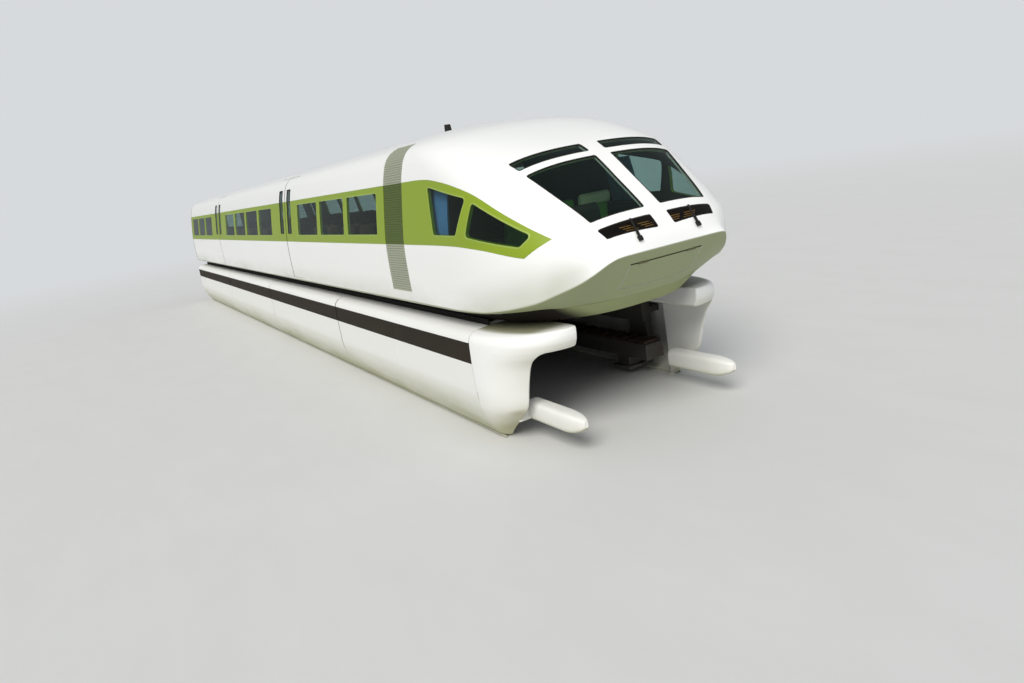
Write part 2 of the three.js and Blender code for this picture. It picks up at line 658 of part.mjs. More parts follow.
// Section of the skirt as [y, z]: its outside from the shoulder down, and its inside back up
const skirtOutside = [
  [1500, 1545], [1640, 1540], [1780, 1490], [1825, 1430], [1840, 1380], [skirtHalfWidth, 1100],
  [skirtHalfWidth, 700], [1825, 520], [1765, 320], [1660, 130], [1580, 30], [1500, 0], [1200, 0],
];
const skirtInside = [
  [1200, 45], [1490, 45], [1550, 70], [1620, 160], [1722, 335], [1780, 530], [1805, 705],
  [1805, 1100], [1795, 1370], [1770, 1415], [1745, 1453], [1630, 1495], [1500, 1500],
];

// Levels of the front fairing: height, outside y and front x. In plan each is a rounded corner
// from the outside at the skirt's end to the front. Below the arm the guideway's slot cuts it.
const fairingLevels = [
  { z: 0, out: 1500, frontX: 11660 }, { z: 30, out: 1575, frontX: 11700 },
  { z: 130, out: 1663, frontX: 11800 }, { z: 320, out: 1768, frontX: 12060 },
  { z: 520, out: 1828, frontX: 12300 }, { z: 810, out: 1850, frontX: 12415 },
  { z: 1090, out: 1850, frontX: 12555 }, { z: 1165, out: 1848, frontX: 12610 },
  { z: 1240, out: 1845, frontX: 12690 }, { z: armBottomZ, out: 1842, frontX: 12722 },
  { z: 1305, out: 1841, frontX: 12734 }, { z: 1390, out: 1838, frontX: 12780 },
  { z: 1470, out: 1800, frontX: 12790 }, { z: 1515, out: 1740, frontX: 12790 },
  { z: 1545, out: 1640, frontX: 12780 }, { z: 1578, out: 1500, frontX: 12740 },
];
const fairing = { power: 2.3, steps: 7, armInnerY: 1010, corner: 130, leastWidth: 60, jointHeight: 20 };
const toeStations = [
  { x: 11900, inset: 0, rise: 0 }, { x: 12700, inset: 0, rise: 0 },
  { x: 12950, inset: 35, rise: 15 }, { x: 13080, inset: 90, rise: 30 },
];
const toeSize = { y0: 1130, y1: 1360, z0: 260, z1: 520 };
const toeNeck = { x0: 11700, x1: 11950, y0: 1340, y1: 1510, z0: 280, z1: 400 };

// Plan of the fairing at one level, anticlockwise, from its back edge round to the inner edge
function fairingPlan({ z, out, frontX }, innerY) {
  const { power, steps, armInnerY } = fairing;
  const reach = Math.max((innerY - armInnerY) / (out - armInnerY), 0);
  const lastAngle = Math.acos(reach ** (power / 2));
  const corner = Array.from({ length: steps + 1 }, (_, i) => {
    const { forward, outward } = cornerShares((lastAngle * i) / steps, power);
    return [skirtFrontX + (frontX - skirtFrontX) * forward, armInnerY + (out - armInnerY) * outward, z];
  });
  return [...corner.reverse(), [skirtFrontX, innerY, z]];
}

// The leg outside the guideway's edge, with a rounded corner up to the arm above it
function fairingSolid(side) {
  const { armInnerY, corner, leastWidth, jointHeight } = fairing;
  const legInner = ({ z, out }) => {
    const bend = Math.min(Math.max((z - (armBottomZ - corner)) / corner, 0), 1);
    return Math.min(slotHalfWidth - corner * (1 - Math.sqrt(1 - bend ** 2)), out - leastWidth);
  };
  const below = fairingLevels.filter(({ z }) => z <= armBottomZ + jointHeight);
  const above = fairingLevels.filter(({ z }) => z >= armBottomZ);
  const leg = ringLoft(below.map((level) => fairingPlan(level, legInner(level))));
  const arm = ringLoft(above.map((level) => fairingPlan(level, armInnerY)));
  const whole = leg.add(arm);
  return side > 0 ? whole : whole.mirror([0, 1, 0]);
}

function addSkirts() {
  for (const [name, side] of sideNames) {
    const section = mirrored([...skirtOutside, ...skirtInside], side);
    addNode(`skirt_${name}`, 'whitePaint', alongX(section, rearX + 20, skirtFrontX - fitGap));
    const { x0, x1, y0, y1, z0, z1 } = toeNeck;
    const neck = side > 0 ? box(x0, x1, y0, y1, z0, z1) : box(x0, x1, -y1, -y0, z0, z1);
    const toe = toeSolid(toeStations, toeSize, side);
    addNode(`skirt_front_${name}`, 'whitePaint', fairingSolid(side).add(toe).add(neck));
  }
}

// Rounded beam end: a chain of box sections that draw in and rise towards the tip
function toeSolid(stations, size, side) {
  const corners = 16;
  const middleY = side * (size.y0 + size.y1) / 2;
  const middleZ = (size.z0 + size.z1) / 2;
  const rings = stations.map(({ x, inset, rise }) => {
    const reachY = (size.y1 - size.y0) / 2 - inset;
    const reachZ = (size.z1 - size.z0) / 2 - inset;
    return Array.from({ length: corners }, (_, i) => {
      const angle = ((i + 0.5) / corners) * Math.PI * 2;
      const round = (value) => Math.sign(value) * Math.abs(value) ** 0.5;
      const y = middleY + reachY * round(Math.cos(angle));
      return [x, y, middleZ + rise + reachZ * round(Math.sin(angle))];
    });
  });
  return ringLoft(rings);
}

// Closes a chain of rings of points into one solid. The rings turn anticlockwise seen from
// the end of the chain.
function ringLoft(rings) {
  const count = rings[0].length;
  const positions = rings.flat(2);
  const middle = (ring) => ring.reduce((sum, p) => sum.map((v, k) => v + p[k] / count), [0, 0, 0]);
  const firstMiddle = positions.length / 3;
  positions.push(...middle(rings[0]), ...middle(rings[rings.length - 1]));
  const index = [];
  for (let r = 0; r < rings.length - 1; r += 1) {
    for (let i = 0; i < count; i += 1) {
      const next = (i + 1) % count;
      const [a, b] = [r * count + i, r * count + next];
      const [c, d] = [(r + 1) * count + i, (r + 1) * count + next];
      index.push(a, b, d, a, d, c);
    }
  }
  const lastRing = (rings.length - 1) * count;
  for (let i = 0; i < count; i += 1) {
    const next = (i + 1) % count;
    index.push(firstMiddle, next, i);
    index.push(firstMiddle + 1, lastRing + i, lastRing + next);
  }
  const geometry = new THREE.BufferGeometry();
  geometry.setAttribute('position', new THREE.Float32BufferAttribute(positions, 3));
  geometry.setIndex(index);
  return solidOf(geometry);
}

// Frames that reach round the guideway, joined by a bar on each side, with air springs on top.
// The magnets lie on their feet and reach up to the underside of the guideway's edge.
const frames = {
  count: 8, length: 420, firstX: rearX + 900, lastBefore: 900,
  topZ: 1480, beamZ: armBottomZ + 45, padFrom: 1080, padTo: 1300, legInnerY: 1500, legOuterY: 1620,
  footInnerY: 1060, footZ: 90, footTopZ: 140, tabY: 1805 - fitGap, tabZ: [900, 1000],
};
const framePitch = (skirtFrontX - frames.lastBefore - frames.firstX) / (frames.count - 1);
const frameBar = { behindFairing: 480, y0: 1450, y1: 1510, z0: 790, z1: 1080 };
const airSpring = { radius: 260, y: 950, bottomZ: 1470, topZ: panBottomZ - fitGap };
const magnetBar = {
  before: 300, behindFairing: 20, y0: 1060, y1: 1420, z0: 300, z1: 610, footInset: 60, footOverlap: 10,
};

// Section of a frame as [y, z], from the middle of its top beam round its leg and foot
function frameOutline() {
  const { topZ, beamZ, padFrom, padTo, legInnerY, legOuterY, footInnerY, footZ, footTopZ } = frames;
  const [tabLow, tabHigh] = frames.tabZ;
  const half = [
    [0, beamZ], [padFrom, beamZ], [padFrom, armBottomZ], [padTo, armBottomZ], [padTo, beamZ],
    [legInnerY, beamZ], [legInnerY, footTopZ], [footInnerY, footTopZ], [footInnerY, footZ],
    [legInnerY + 40, footZ], [legOuterY - 20, footZ + 80], [legOuterY, tabLow], [frames.tabY, tabLow],
    [frames.tabY, tabHigh], [legOuterY, tabHigh], [legOuterY, beamZ + 15], [legOuterY - 20, topZ],
    [0, topZ],
  ];
  return [...half, ...half.slice(1, -1).reverse().map(([y, z]) => [-y, z])];
}

function addChassis() {
  const { count, length, firstX } = frames;
  const starts = Array.from({ length: count }, (_, i) => firstX + i * framePitch);
  const outline = frameOutline();
  let chassis = null;
  for (const [, side] of sideNames) {
    const { y0, y1, z0, z1 } = frameBar;
    const [inner, outer] = side > 0 ? [y0, y1] : [-y1, -y0];
    const bar = box(firstX, skirtFrontX - frameBar.behindFairing, inner, outer, z0, z1);
    chassis = chassis ? chassis.add(bar) : bar;
  }
  for (const x of starts) {
    chassis = chassis.add(alongX(outline, x, x + length));
    for (const [, side] of sideNames) {
      const { radius, y, bottomZ, topZ } = airSpring;
      const spring = new THREE.CylinderGeometry(radius, radius, topZ - bottomZ, 20);
      spring.rotateX(Math.PI / 2);
      spring.translate(x + length / 2, side * y, (topZ + bottomZ) / 2);
      chassis = chassis.add(solidOf(spring));
    }
  }
  addNode('levitation_chassis', 'chassisSteel', chassis);
  for (const [name, side] of sideNames) {
    const { y0, y1, z0, z1, footInset, footOverlap } = magnetBar;
    const [inner, outer] = side > 0 ? [y0, y1] : [-y1, -y0];
    let magnets = box(firstX - magnetBar.before, skirtFrontX - magnetBar.behindFairing, inner, outer, z0, z1);
    for (const x of starts) {
      magnets = magnets.add(box(x + footInset, x + length - footInset, inner + footInset,
        outer - footInset, frames.footTopZ + fitGap, z0 + footOverlap));
    }
    addNode(`levitation_magnets_${name}`, 'magnet', magnets);
  }
}

// Places a geometry drawn in a wiper's own frame, with x along its shaft and z along its blade
function onWiperShaft(geometry, side) {
  const turn = new THREE.Matrix4().makeRotationY(-THREE.MathUtils.degToRad(wiper.leanDegrees));
  geometry.applyMatrix4(turn.setPosition(wiper.x, side * wiper.y, wiper.z));
  return solidOf(geometry);
}

// Boss on the nose with a flat face square to the wiper's shaft
function wiperBoss(side) {
  const { bossRadius, bossDepth, footBack } = wiper;
  const geometry = new THREE.CylinderGeometry(bossRadius, bossRadius, bossDepth - footBack - fitGap, 16);
  geometry.rotateZ(Math.PI / 2);
  geometry.translate(-(bossDepth + footBack + fitGap) / 2, 0, 0);
  return onWiperShaft(geometry, side);
}

// Short wipers that stand on the front, one over each lamp panel
function addWipers() {
  const { halfWidth, depth, length, footHalfWidth, footBack } = wiper;
  for (const [name, side] of sideNames) {
    const blade = onWiperShaft(boxGeometry(0, depth, -halfWidth, halfWidth, 0, length), side);
    const foot = onWiperShaft(boxGeometry(
      -footBack, depth, -footHalfWidth, footHalfWidth, -footHalfWidth, footHalfWidth), side);
    addNode(`lamp_wiper_${name}`, 'blackPlastic', blade.add(foot));
  }
}

const antenna = {
  x: 8330, base: { before: 130, behind: 130, halfWidth: 55, height: 25 },
  fin: { before: 100, behind: 70, halfWidth: 38, height: 150 },
};

function addAntenna() {
  const { x, base, fin } = antenna;
  const roofTopZ = 4200;
  const foot = box(x - base.behind, x + base.before, -base.halfWidth, base.halfWidth,
    roofTopZ + fitGap, roofTopZ + base.height);
  const blade = box(x - fin.behind, x + fin.before, -fin.halfWidth, fin.halfWidth,
    roofTopZ + base.height - 5, roofTopZ + fin.height);
  addNode('roof_antenna', 'blackPlastic', foot.add(blade));
}

addNose();
addShellSections();
addWindowBands();
addDoors();
addUnderframe();
addBulkheads();
addCab();
addPassengerSeats();
addSkirts();
addChassis();
addWipers();
addAntenna();

export default car;
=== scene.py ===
import math

import bpy
import bmesh
import numpy as np
from mathutils import Matrix, Vector


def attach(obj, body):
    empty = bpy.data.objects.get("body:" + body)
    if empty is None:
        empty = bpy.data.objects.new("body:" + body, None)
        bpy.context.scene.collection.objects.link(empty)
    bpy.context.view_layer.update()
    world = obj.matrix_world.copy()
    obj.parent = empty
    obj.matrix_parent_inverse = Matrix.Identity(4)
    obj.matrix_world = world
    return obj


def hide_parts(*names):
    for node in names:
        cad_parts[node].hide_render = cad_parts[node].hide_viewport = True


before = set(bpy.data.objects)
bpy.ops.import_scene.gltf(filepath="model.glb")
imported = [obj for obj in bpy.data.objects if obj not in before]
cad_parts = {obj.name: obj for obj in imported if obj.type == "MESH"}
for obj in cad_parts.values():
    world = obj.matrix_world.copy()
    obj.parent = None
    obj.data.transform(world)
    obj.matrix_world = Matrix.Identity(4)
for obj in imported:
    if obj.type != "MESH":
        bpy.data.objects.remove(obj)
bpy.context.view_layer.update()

print("frame loaded:", len(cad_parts), "nodes")

sides = {"Left": 1, "Right": -1}
farOut = 2.6

# The camera that the photograph was taken with: place, and the directions of its picture
cameraView = {
    "place": (19.966, -5.777, 3.565),
    "right": (0.50456, 0.84747, -0.16496),
    "down": (0.12291, -0.25962, -0.95786),
    "forward": (-0.85459, 0.46302, -0.23515),
    "lens": 25.81,
    "sensor": 36.0,
}


def makeCamera():
    data = bpy.data.cameras.new("camera")
    data.lens = cameraView["lens"]
    data.sensor_width = cameraView["sensor"]
    data.clip_end = 2000
    camera = bpy.data.objects.new("camera", data)
    right, down, forward = (Vector(cameraView[k]).normalized() for k in ("right", "down", "forward"))
    turn = Matrix((right, -down, -forward)).transposed().to_4x4()
    camera.matrix_world = Matrix.Translation(cameraView["place"]) @ turn
    bpy.context.scene.collection.objects.link(camera)
    bpy.context.scene.camera = camera


makeCamera()

# Mesh tools. A part is (points, [face arrays]); faces in one array have the same number of corners.


def gridQuads(rows, columns, closeRows=False, closeColumns=False):
    # Quads between neighbours of a rows x columns grid of points, with optional wrap-around
    r = np.arange(rows if closeRows else rows - 1)[:, None]
    c = np.arange(columns if closeColumns else columns - 1)[None]
    nextR, nextC = (r + 1) % rows, (c + 1) % columns
    corners = [r * columns + c, r * columns + nextC, nextR * columns + nextC, nextR * columns + c]
    return np.stack(np.broadcast_arrays(*corners), -1).reshape(-1, 4)


def joinParts(parts):
    points, faces, start = [], [], 0
    for partPoints, partFaces in parts:
        points.append(partPoints)
        faces += [f + start for f in partFaces]
        start += len(partPoints)
    return np.concatenate(points), faces


def mirrorPart(part):
    return part[0] * (1, -1, 1), [f[:, ::-1] for f in part[1]]


def linked(name, mesh):
    piece = bpy.data.objects.new(name, mesh)
    bpy.context.scene.collection.objects.link(piece)
    return piece


def newObject(name, parts, merge=0.0, outward=True):
    points, faces = joinParts(parts)
    mesh = bpy.data.meshes.new(name)
    loops = np.concatenate([f.ravel() for f in faces])
    sizes = np.concatenate([np.full(len(f), f.shape[1]) for f in faces])
    mesh.vertices.add(len(points))
    mesh.vertices.foreach_set("co", np.asarray(points, np.float32).ravel())
    mesh.loops.add(len(loops))
    mesh.loops.foreach_set("vertex_index", loops.astype(np.int32))
    mesh.polygons.add(len(sizes))
    mesh.polygons.foreach_set("loop_start", (np.cumsum(sizes) - sizes).astype(np.int32))
    mesh.update(calc_edges=True)
    if outward:
        work = bmesh.new()
        work.from_mesh(mesh)
        if merge:
            bmesh.ops.remove_doubles(work, verts=work.verts, dist=merge)
            bmesh.ops.dissolve_degenerate(work, dist=merge * 0.5, edges=work.edges)
        bmesh.ops.recalc_face_normals(work, faces=work.faces)
        work.to_mesh(mesh)
        work.free()
    return linked(name, mesh)


def finishPiece(piece, slot, finish, replaced=(), body="car", smooth=35, bevel=0.0, segments=2):
    # Gives a piece its materials, its smooth shading, its body and the nodes it stands for
    slots = piece.data.materials
    for index, name in enumerate(finish.split()):
        if index < len(slots):
            slots[index] = materials[name]
        else:
            slots.append(materials[name])
    if bevel:
        modifier = piece.modifiers.new("bevel", "BEVEL")
        modifier.width = bevel
        modifier.segments = segments
        modifier.limit_method = "ANGLE"
        modifier.angle_limit = math.radians(40)
    piece.data.shade_smooth()
    piece.data.set_sharp_from_angle(angle=math.radians(smooth))
    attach(piece, body)
    if replaced:
        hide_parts(*replaced)
    return piece


def addPiece(name, parts, slot, finish, replaced=(), **options):
    return finishPiece(newObject(name, parts), slot, finish, replaced, **options)


def evaluatedMesh(piece):
    return bpy.data.meshes.new_from_object(piece.evaluated_get(bpy.context.evaluated_depsgraph_get()))


def carve(target, parts, operation="DIFFERENCE"):
    # Cuts the target with a closed cutter, or cuts it to it, and keeps the result as its own mesh
    cutter = newObject("cutter", parts) if isinstance(parts, list) else parts
    modifier = target.modifiers.new("carve", "BOOLEAN")
    modifier.operation = operation
    modifier.solver = "MANIFOLD"
    modifier.object = cutter
    result = evaluatedMesh(target)
    target.modifiers.clear()
    old = target.data
    target.data = result
    bpy.data.meshes.remove(old)
    bpy.data.objects.remove(cutter)
    return target


def copyOf(piece, name):
    return linked(name, piece.data.copy())


def readVectors(items, key):
    # One (x, y, z) row for each vertex's or face's value of that name
    values = np.zeros(len(items) * 3, np.float32)
    items.foreach_get(key, values)
    return values.reshape(-1, 3)


def boxPart(x0, x1, y0, y1, z0, z1):
    corners = np.array([(x, y, z) for x in (x0, x1) for y in (y0, y1) for z in (z0, z1)], float)
    quads = np.array([(0, 1, 3, 2), (4, 6, 7, 5), (0, 4, 5, 1), (2, 3, 7, 6), (0, 2, 6, 4), (1, 5, 7, 3)])
    return corners, [quads]


def tubePart(rings):
    # Closed solid through rings of equal point counts: quads between rings, one face on each end
    rings = np.asarray(rings, float)
    count, around = rings.shape[:2]
    quads = gridQuads(count, around, closeColumns=True)
    first = np.arange(around)[None, ::-1]
    last = np.arange(around)[None] + (count - 1) * around
    return rings.reshape(-1, 3), [quads, first, last]


def sweepPart(path, profile):
    # The profile (across, up) is carried along the path; across is path direction times up
    path = np.asarray(path, float)
    along = np.gradient(path, axis=0)
    along /= np.linalg.norm(along, axis=1, keepdims=True)
    across = np.cross(along, (0, 0, 1))
    across /= np.linalg.norm(across, axis=1, keepdims=True)
    rise = np.cross(across, along)
    profile = np.asarray(profile, float)
    moved = across[:, None] * profile[None, :, :1] + rise[:, None] * profile[None, :, 1:]
    return tubePart(path[:, None] + moved)


def lathePart(profile, centre, steps=32):
    # The profile (radius, height) turns round an upright axis through the centre
    profile = np.asarray(profile, float)
    turn = np.linspace(0, 2 * math.pi, steps, endpoint=False)
    ring = np.stack([
        profile[:, :1] * np.cos(turn), profile[:, :1] * np.sin(turn), profile[:, 1:] + 0 * turn,
    ], -1)
    return tubePart(ring + np.asarray(centre, float))


def circle(radius, steps=24):
    turn = np.linspace(0, 2 * math.pi, steps, endpoint=False)
    return np.stack([np.cos(turn), np.sin(turn)], 1) * radius


def prismPart(outline, place, low, high):
    # Extrudes an outline of (a, b) between two distances; place turns (a, b, distance) into points
    outline = np.asarray(outline, float)
    return tubePart([place(outline[:, 0], outline[:, 1], d) for d in (low, high)])


def alongX(outline, x0, x1):
    return prismPart(outline, lambda y, z, x: np.stack([x + 0 * y, y, z], -1), x0, x1)


def alongY(outline, y0, y1):
    return prismPart(outline, lambda x, z, y: np.stack([x, y + 0 * x, z], -1), y0, y1)


def sideSpan(side, near, far):
    return (near, far) if side > 0 else (-far, -near)


def sideBox(side, x0, x1, near, far, z0, z1):
    return boxPart(x0, x1, *sideSpan(side, near, far), z0, z1)


def gridRim(rows, columns):
    # Indices of the points round the edge of a grid, in order
    index = np.arange(rows * columns).reshape(rows, columns)
    return np.concatenate([index[:-1, 0], index[-1, :-1], index[:0:-1, -1], index[0, :0:-1]])


def shellPart(upper, lower):
    # Closed solid of two grids of points that meet along a wall round their edges
    rows, columns = upper.shape[:2]
    count, quads, rim = rows * columns, gridQuads(rows, columns), gridRim(rows, columns)
    following = np.roll(rim, -1)
    wall = np.stack([rim, rim + count, following + count, following], 1)
    return np.concatenate([upper.reshape(-1, 3), lower.reshape(-1, 3)]), [quads, quads[:, ::-1] + count, wall]


def roundedOutline(corners, radius, spacing=0.08):
    # Rounds each corner with an arc and adds points along the straights, so that it can bend
    corners = np.asarray(corners, float)
    made = []
    for i, corner in enumerate(corners):
        before, after = corners[i - 1] - corner, corners[(i + 1) % len(corners)] - corner
        inA, outA = before / np.linalg.norm(before), after / np.linalg.norm(after)
        half = math.acos(np.clip(inA @ outA, -1, 1)) / 2
        reach = min(radius / math.tan(half), 0.45 * min(np.linalg.norm(before), np.linalg.norm(after)))
        share = np.linspace(0, 1, 7)[:, None]
        start, end = corner + inA * reach, corner + outA * reach
        made.append((1 - share) ** 2 * start + 2 * share * (1 - share) * corner + share ** 2 * end)
    loop = np.concatenate(made)
    following = np.roll(loop, -1, axis=0)
    counts = np.maximum(np.ceil(np.linalg.norm(following - loop, axis=1) / spacing), 1).astype(int)
    line = np.concatenate([a + (b - a) * np.arange(n)[:, None] / n
                           for a, b, n in zip(loop, following, counts)])
    return line[np.linalg.norm(np.roll(line, -1, axis=0) - line, axis=1) > 1e-4]


def rectangle(x0, x1, z0, z1):
    return [(x0, z0), (x1, z0), (x1, z1), (x0, z1)]


def grownOutline(outline, distance):
    # Moves each point of an outline outwards, square to the line through its neighbours
    along = np.roll(outline, -1, axis=0) - np.roll(outline, 1, axis=0)
    along /= np.linalg.norm(along, axis=1, keepdims=True)
    square = np.stack([along[:, 1], -along[:, 0]], 1)
    area = np.sum(outline[:, 0] * np.roll(outline[:, 1], -1) - outline[:, 1] * np.roll(outline[:, 0], -1))
    return outline + square * distance * np.sign(area)


# Skin of the body. Each row is one line along the body, from its bottom edge to the crown.
# Along the body it lies at halfWidth and z; from startX it bends in, as a rounded corner of
# the given power, to meet the centre line at noseX and noseZ. The second row is drawn on to
# the sharp crease under the nose, and its neighbours by the share that pull gives. In metres.
bodyShape = {
    "rows": [  # halfWidth, z, noseX, noseZ, startX, power, pull
        (1.767, 1.780, 13.06, 1.780, 11.0, 2.30, 0.0),
        (1.786, 1.800, 13.55, 2.350, 11.0, 3.00, 1.0),
        (1.787, 2.100, 13.53, 2.440, 11.0, 3.00, 0.3),
        (1.775, 2.520, 13.48, 2.560, 11.0, 3.00, 0.0),
        (1.762, 2.680, 13.28, 2.790, 11.0, 3.00, 0.0),
        (1.705, 3.050, 12.87, 3.140, 11.0, 3.00, 0.0),
        (1.645, 3.380, 12.46, 3.470, 10.9, 3.00, 0.0),
        (1.618, 3.530, 12.20, 3.630, 10.7, 2.95, 0.0),
        (1.579, 3.680, 11.88, 3.770, 10.4, 2.85, 0.0),
        (1.515, 3.850, 11.48, 3.910, 10.1, 2.70, 0.0),
        (1.400, 3.980, 11.10, 4.020, 9.8, 2.50, 0.0),
        (1.200, 4.065, 10.75, 4.090, 9.5, 2.35, 0.0),
        (0.900, 4.130, 10.30, 4.140, 9.3, 2.20, 0.0),
        (0.500, 4.180, 9.85, 4.182, 9.1, 2.00, 0.0),
        (0.000, 4.200, 9.00, 4.200, 9.0, 2.00, 0.0),
    ],
    "crease": [  # x, y, z from the side of the body to the middle of the nose
        (11.0, 1.786, 1.80), (11.8, 1.735, 1.80), (12.3, 1.64, 1.84), (12.62, 1.53, 1.89),
        (12.82, 1.44, 1.935), (12.985, 1.325, 2.0), (13.214, 1.152, 2.1), (13.372, 1.023, 2.2),
        (13.493, 0.906, 2.3), (13.545, 0.83, 2.34), (13.55, 0.7, 2.35), (13.55, 0.0, 2.35),
    ],
    "rise": 1.5, "chineRow": 1, "chineBlur": 10, "chineReach": 0.27,
    "chineLoops": (-0.25, -0.20, -0.16, -0.125, -0.095, -0.065, -0.035, -0.01, 0.015, 0.04, 0.065, 0.09, 0.12,
                   0.155, 0.195, 0.24),
    "stepsPerRow": 80, "rowSpacing": 0.05, "cornerSteps": 60, "wall": 0.05, "rearX": -13.35, "bottomZ": 1.78,
    "crownX": 9,
}


def smoothThrough(knots, values, at, flatEnd=False):
    # Monotone cubic through the knots: each slope is the harmonic mean of the chords beside it
    step = np.diff(knots)
    chord = np.diff(values) / step
    product = chord[:-1] * chord[1:]
    total = np.where(product > 0, chord[:-1] + chord[1:], 1)
    slope = np.zeros(len(values))
    slope[1:-1] = np.where(product > 0, 2 * product / total, 0)
    slope[0], slope[-1] = chord[0], 0 if flatEnd else chord[-1]
    i = np.clip(np.searchsorted(knots, at, side="right") - 1, 0, len(step) - 1)
    u = (at - knots[i]) / step[i]
    return ((1 + 2 * u) * (1 - u) ** 2 * values[i] + u * (1 - u) ** 2 * step[i] * slope[i]
            + u * u * (3 - 2 * u) * values[i + 1] + u * u * (u - 1) * step[i] * slope[i + 1])


def chainNormals(chain):
    along = np.gradient(chain, axis=0)
    normal = np.stack([along[:, 1], -along[:, 0]], 1)
    return normal / np.linalg.norm(normal, axis=1, keepdims=True)


def chordLengths(line):
    return np.concatenate([[0], np.cumsum(np.linalg.norm(np.diff(line, axis=0), axis=1))])


def fineRows(inset=0.0, bottomZ=bodyShape["bottomZ"]):
    # The table moved inwards by the inset and read finely: smooth everywhere but at the chine,
    # which is rounded by blurring its neighbourhood. The first row lies at bottomZ, on the
    # chin's slope. Returns row numbers and seven columns.
    table = np.array(bodyShape["rows"])
    for columns in ((0, 1), (2, 3)):
        normal = chainNormals(table[:, columns])
        normal[-1] = (0, 1)
        table[:, columns] -= inset * normal
    table[-1, 0], table[-1, 2] = 0, table[-1, 4]
    low, crease = table[:2]
    low[2] += (bottomZ - low[3]) * (crease[2] - low[2]) / (crease[3] - low[3])
    low[1] = low[3] = bottomZ
    knots = np.arange(len(table), dtype=float)
    steps, chine = bodyShape["stepsPerRow"], bodyShape["chineRow"]
    at = np.linspace(0, knots[-1], steps * (len(table) - 1) + 1)
    below, reach = at <= chine, bodyShape["chineBlur"]
    spread = np.exp(-0.5 * np.linspace(-2.5, 2.5, 2 * reach + 1) ** 2)
    share = np.exp(-((at - chine) * steps / (2.0 * reach)) ** 4)
    fine = np.empty((len(at), table.shape[1]))
    for k in range(table.shape[1]):
        low = smoothThrough(knots[:chine + 1], table[:chine + 1, k], at[below])
        high = smoothThrough(knots[chine:], table[chine:, k], at[~below], flatEnd=k in (1, 3))
        line = np.concatenate([low, high])
        blurred = np.convolve(np.pad(line, reach, mode="edge"), spread / spread.sum(), mode="valid")
        fine[:, k] = line + share * (blurred - line)
    return at, fine


skinTable = fineRows()


def readRows(table, row):
    at, fine = table
    return [np.interp(row, at, column) for column in fine.T]


def creaseShift(turn):
    # How far the crease lies from its row's own corner, in x and z, at each turn of the corner
    line = np.array(bodyShape["crease"])
    halfWidth, z, noseX, noseZ, startX, power, _ = bodyShape["rows"][bodyShape["chineRow"]]
    at = np.arccos((line[:, 1] / halfWidth) ** (power / 2))
    forward = np.sin(turn) ** (2 / power)
    return (smoothThrough(at, line[:, 0], turn) - startX - (noseX - startX) * forward,
            smoothThrough(at, line[:, 2], turn) - z - (noseZ - z) * forward ** bodyShape["rise"])


def skin(row, turn, table=skinTable):
    # Rounded corner: x = startX + (noseX - startX) sin^(2/p), y = halfWidth cos^(2/p),
    # z runs from the side's height to the nose's with a power, rise, of the x share; pull
    # times the crease's shift is added to x and z
    halfWidth, z, noseX, noseZ, startX, power, pull = readRows(table, row)
    forward = np.sin(turn) ** (2 / power)
    outward = np.clip(np.cos(turn), 0, 1) ** (2 / power)
    shiftX, shiftZ = creaseShift(turn)
    x = startX + (noseX - startX) * forward + pull * shiftX
    return np.stack([
        x, halfWidth * outward, z + (noseZ - z) * forward ** bodyShape["rise"] + pull * shiftZ,
    ], -1)


def rowsAcross(values, kind):
    # For each given x (kind 0) or y (kind 1), the other two coordinates along all rows
    row = skinTable[0][None]
    halfWidth, z, noseX, noseZ, startX, power, _ = readRows(skinTable, row)
    values = np.asarray(values, float).reshape(-1, 1)
    reach = np.maximum(noseX - startX, 1e-6)
    if kind == 0:
        forward = np.clip((values - startX) / reach, 0, 1)
        other = halfWidth * (1 - forward ** power) ** (1 / power)
    else:
        share = np.clip(np.abs(values) / np.maximum(halfWidth, 1e-6), 0, 1)
        forward = (1 - share ** power) ** (1 / power)
        other = startX + reach * forward
    return other, z + (noseZ - z) * forward ** bodyShape["rise"]


def sectionAt(x, inset=0.0):
    # Half section of the skin at x, from its bottom edge to the crown: the rows that reach x,
    # closed by the point where the nose line passes x, and moved inwards by the inset
    at, fine = skinTable
    out, height = rowsAcross([x], 0)
    inNose = x > bodyShape["crownX"]
    reached = (fine[:, 2] > x + 1e-4) | (x < bodyShape["crownX"])
    crown = np.interp(-x, -fine[len(at) // 2:, 2], fine[len(at) // 2:, 3]) if inNose else height[0, -1]
    line = np.stack([out[0], height[0]], 1)[reached]
    if inNose:
        line = np.concatenate([line[line[:, 0] > 0.004], [(0, crown)]])
    normal = chainNormals(line)
    normal[-1] = (0, 1)
    line = line - normal * inset
    line[-1, 0] = 0
    return line, normal


def readAcross(at, rising, values):
    # Linear reading of each row of values where its rising partner passes the given number
    i = np.clip((rising < at[:, None]).sum(1), 1, rising.shape[1] - 1)
    pick = np.arange(len(at))
    low, high = rising[pick, i - 1], rising[pick, i]
    share = np.clip((at - low) / np.maximum(high - low, 1e-9), 0, 1)
    return values[pick, i - 1] * (1 - share) + values[pick, i] * share


def onSide(side):
    # Places (x, z) on the side of the skin
    def place(x, z):
        out, height = rowsAcross(np.ravel(x), 0)
        y = readAcross(np.ravel(z), height, out).reshape(np.shape(x))
        return np.stack([x, side * y, z], -1)
    place.outward = (0, side, 0)
    return place


screenPlane = {"origin": (12.9, 0.0, 3.1), "slope": math.radians(40), "inward": 0.26, "outward": 0.5}
screenUp = np.array([-math.cos(screenPlane["slope"]), 0, math.sin(screenPlane["slope"])])
screenOut = np.array([math.sin(screenPlane["slope"]), 0, math.cos(screenPlane["slope"])])


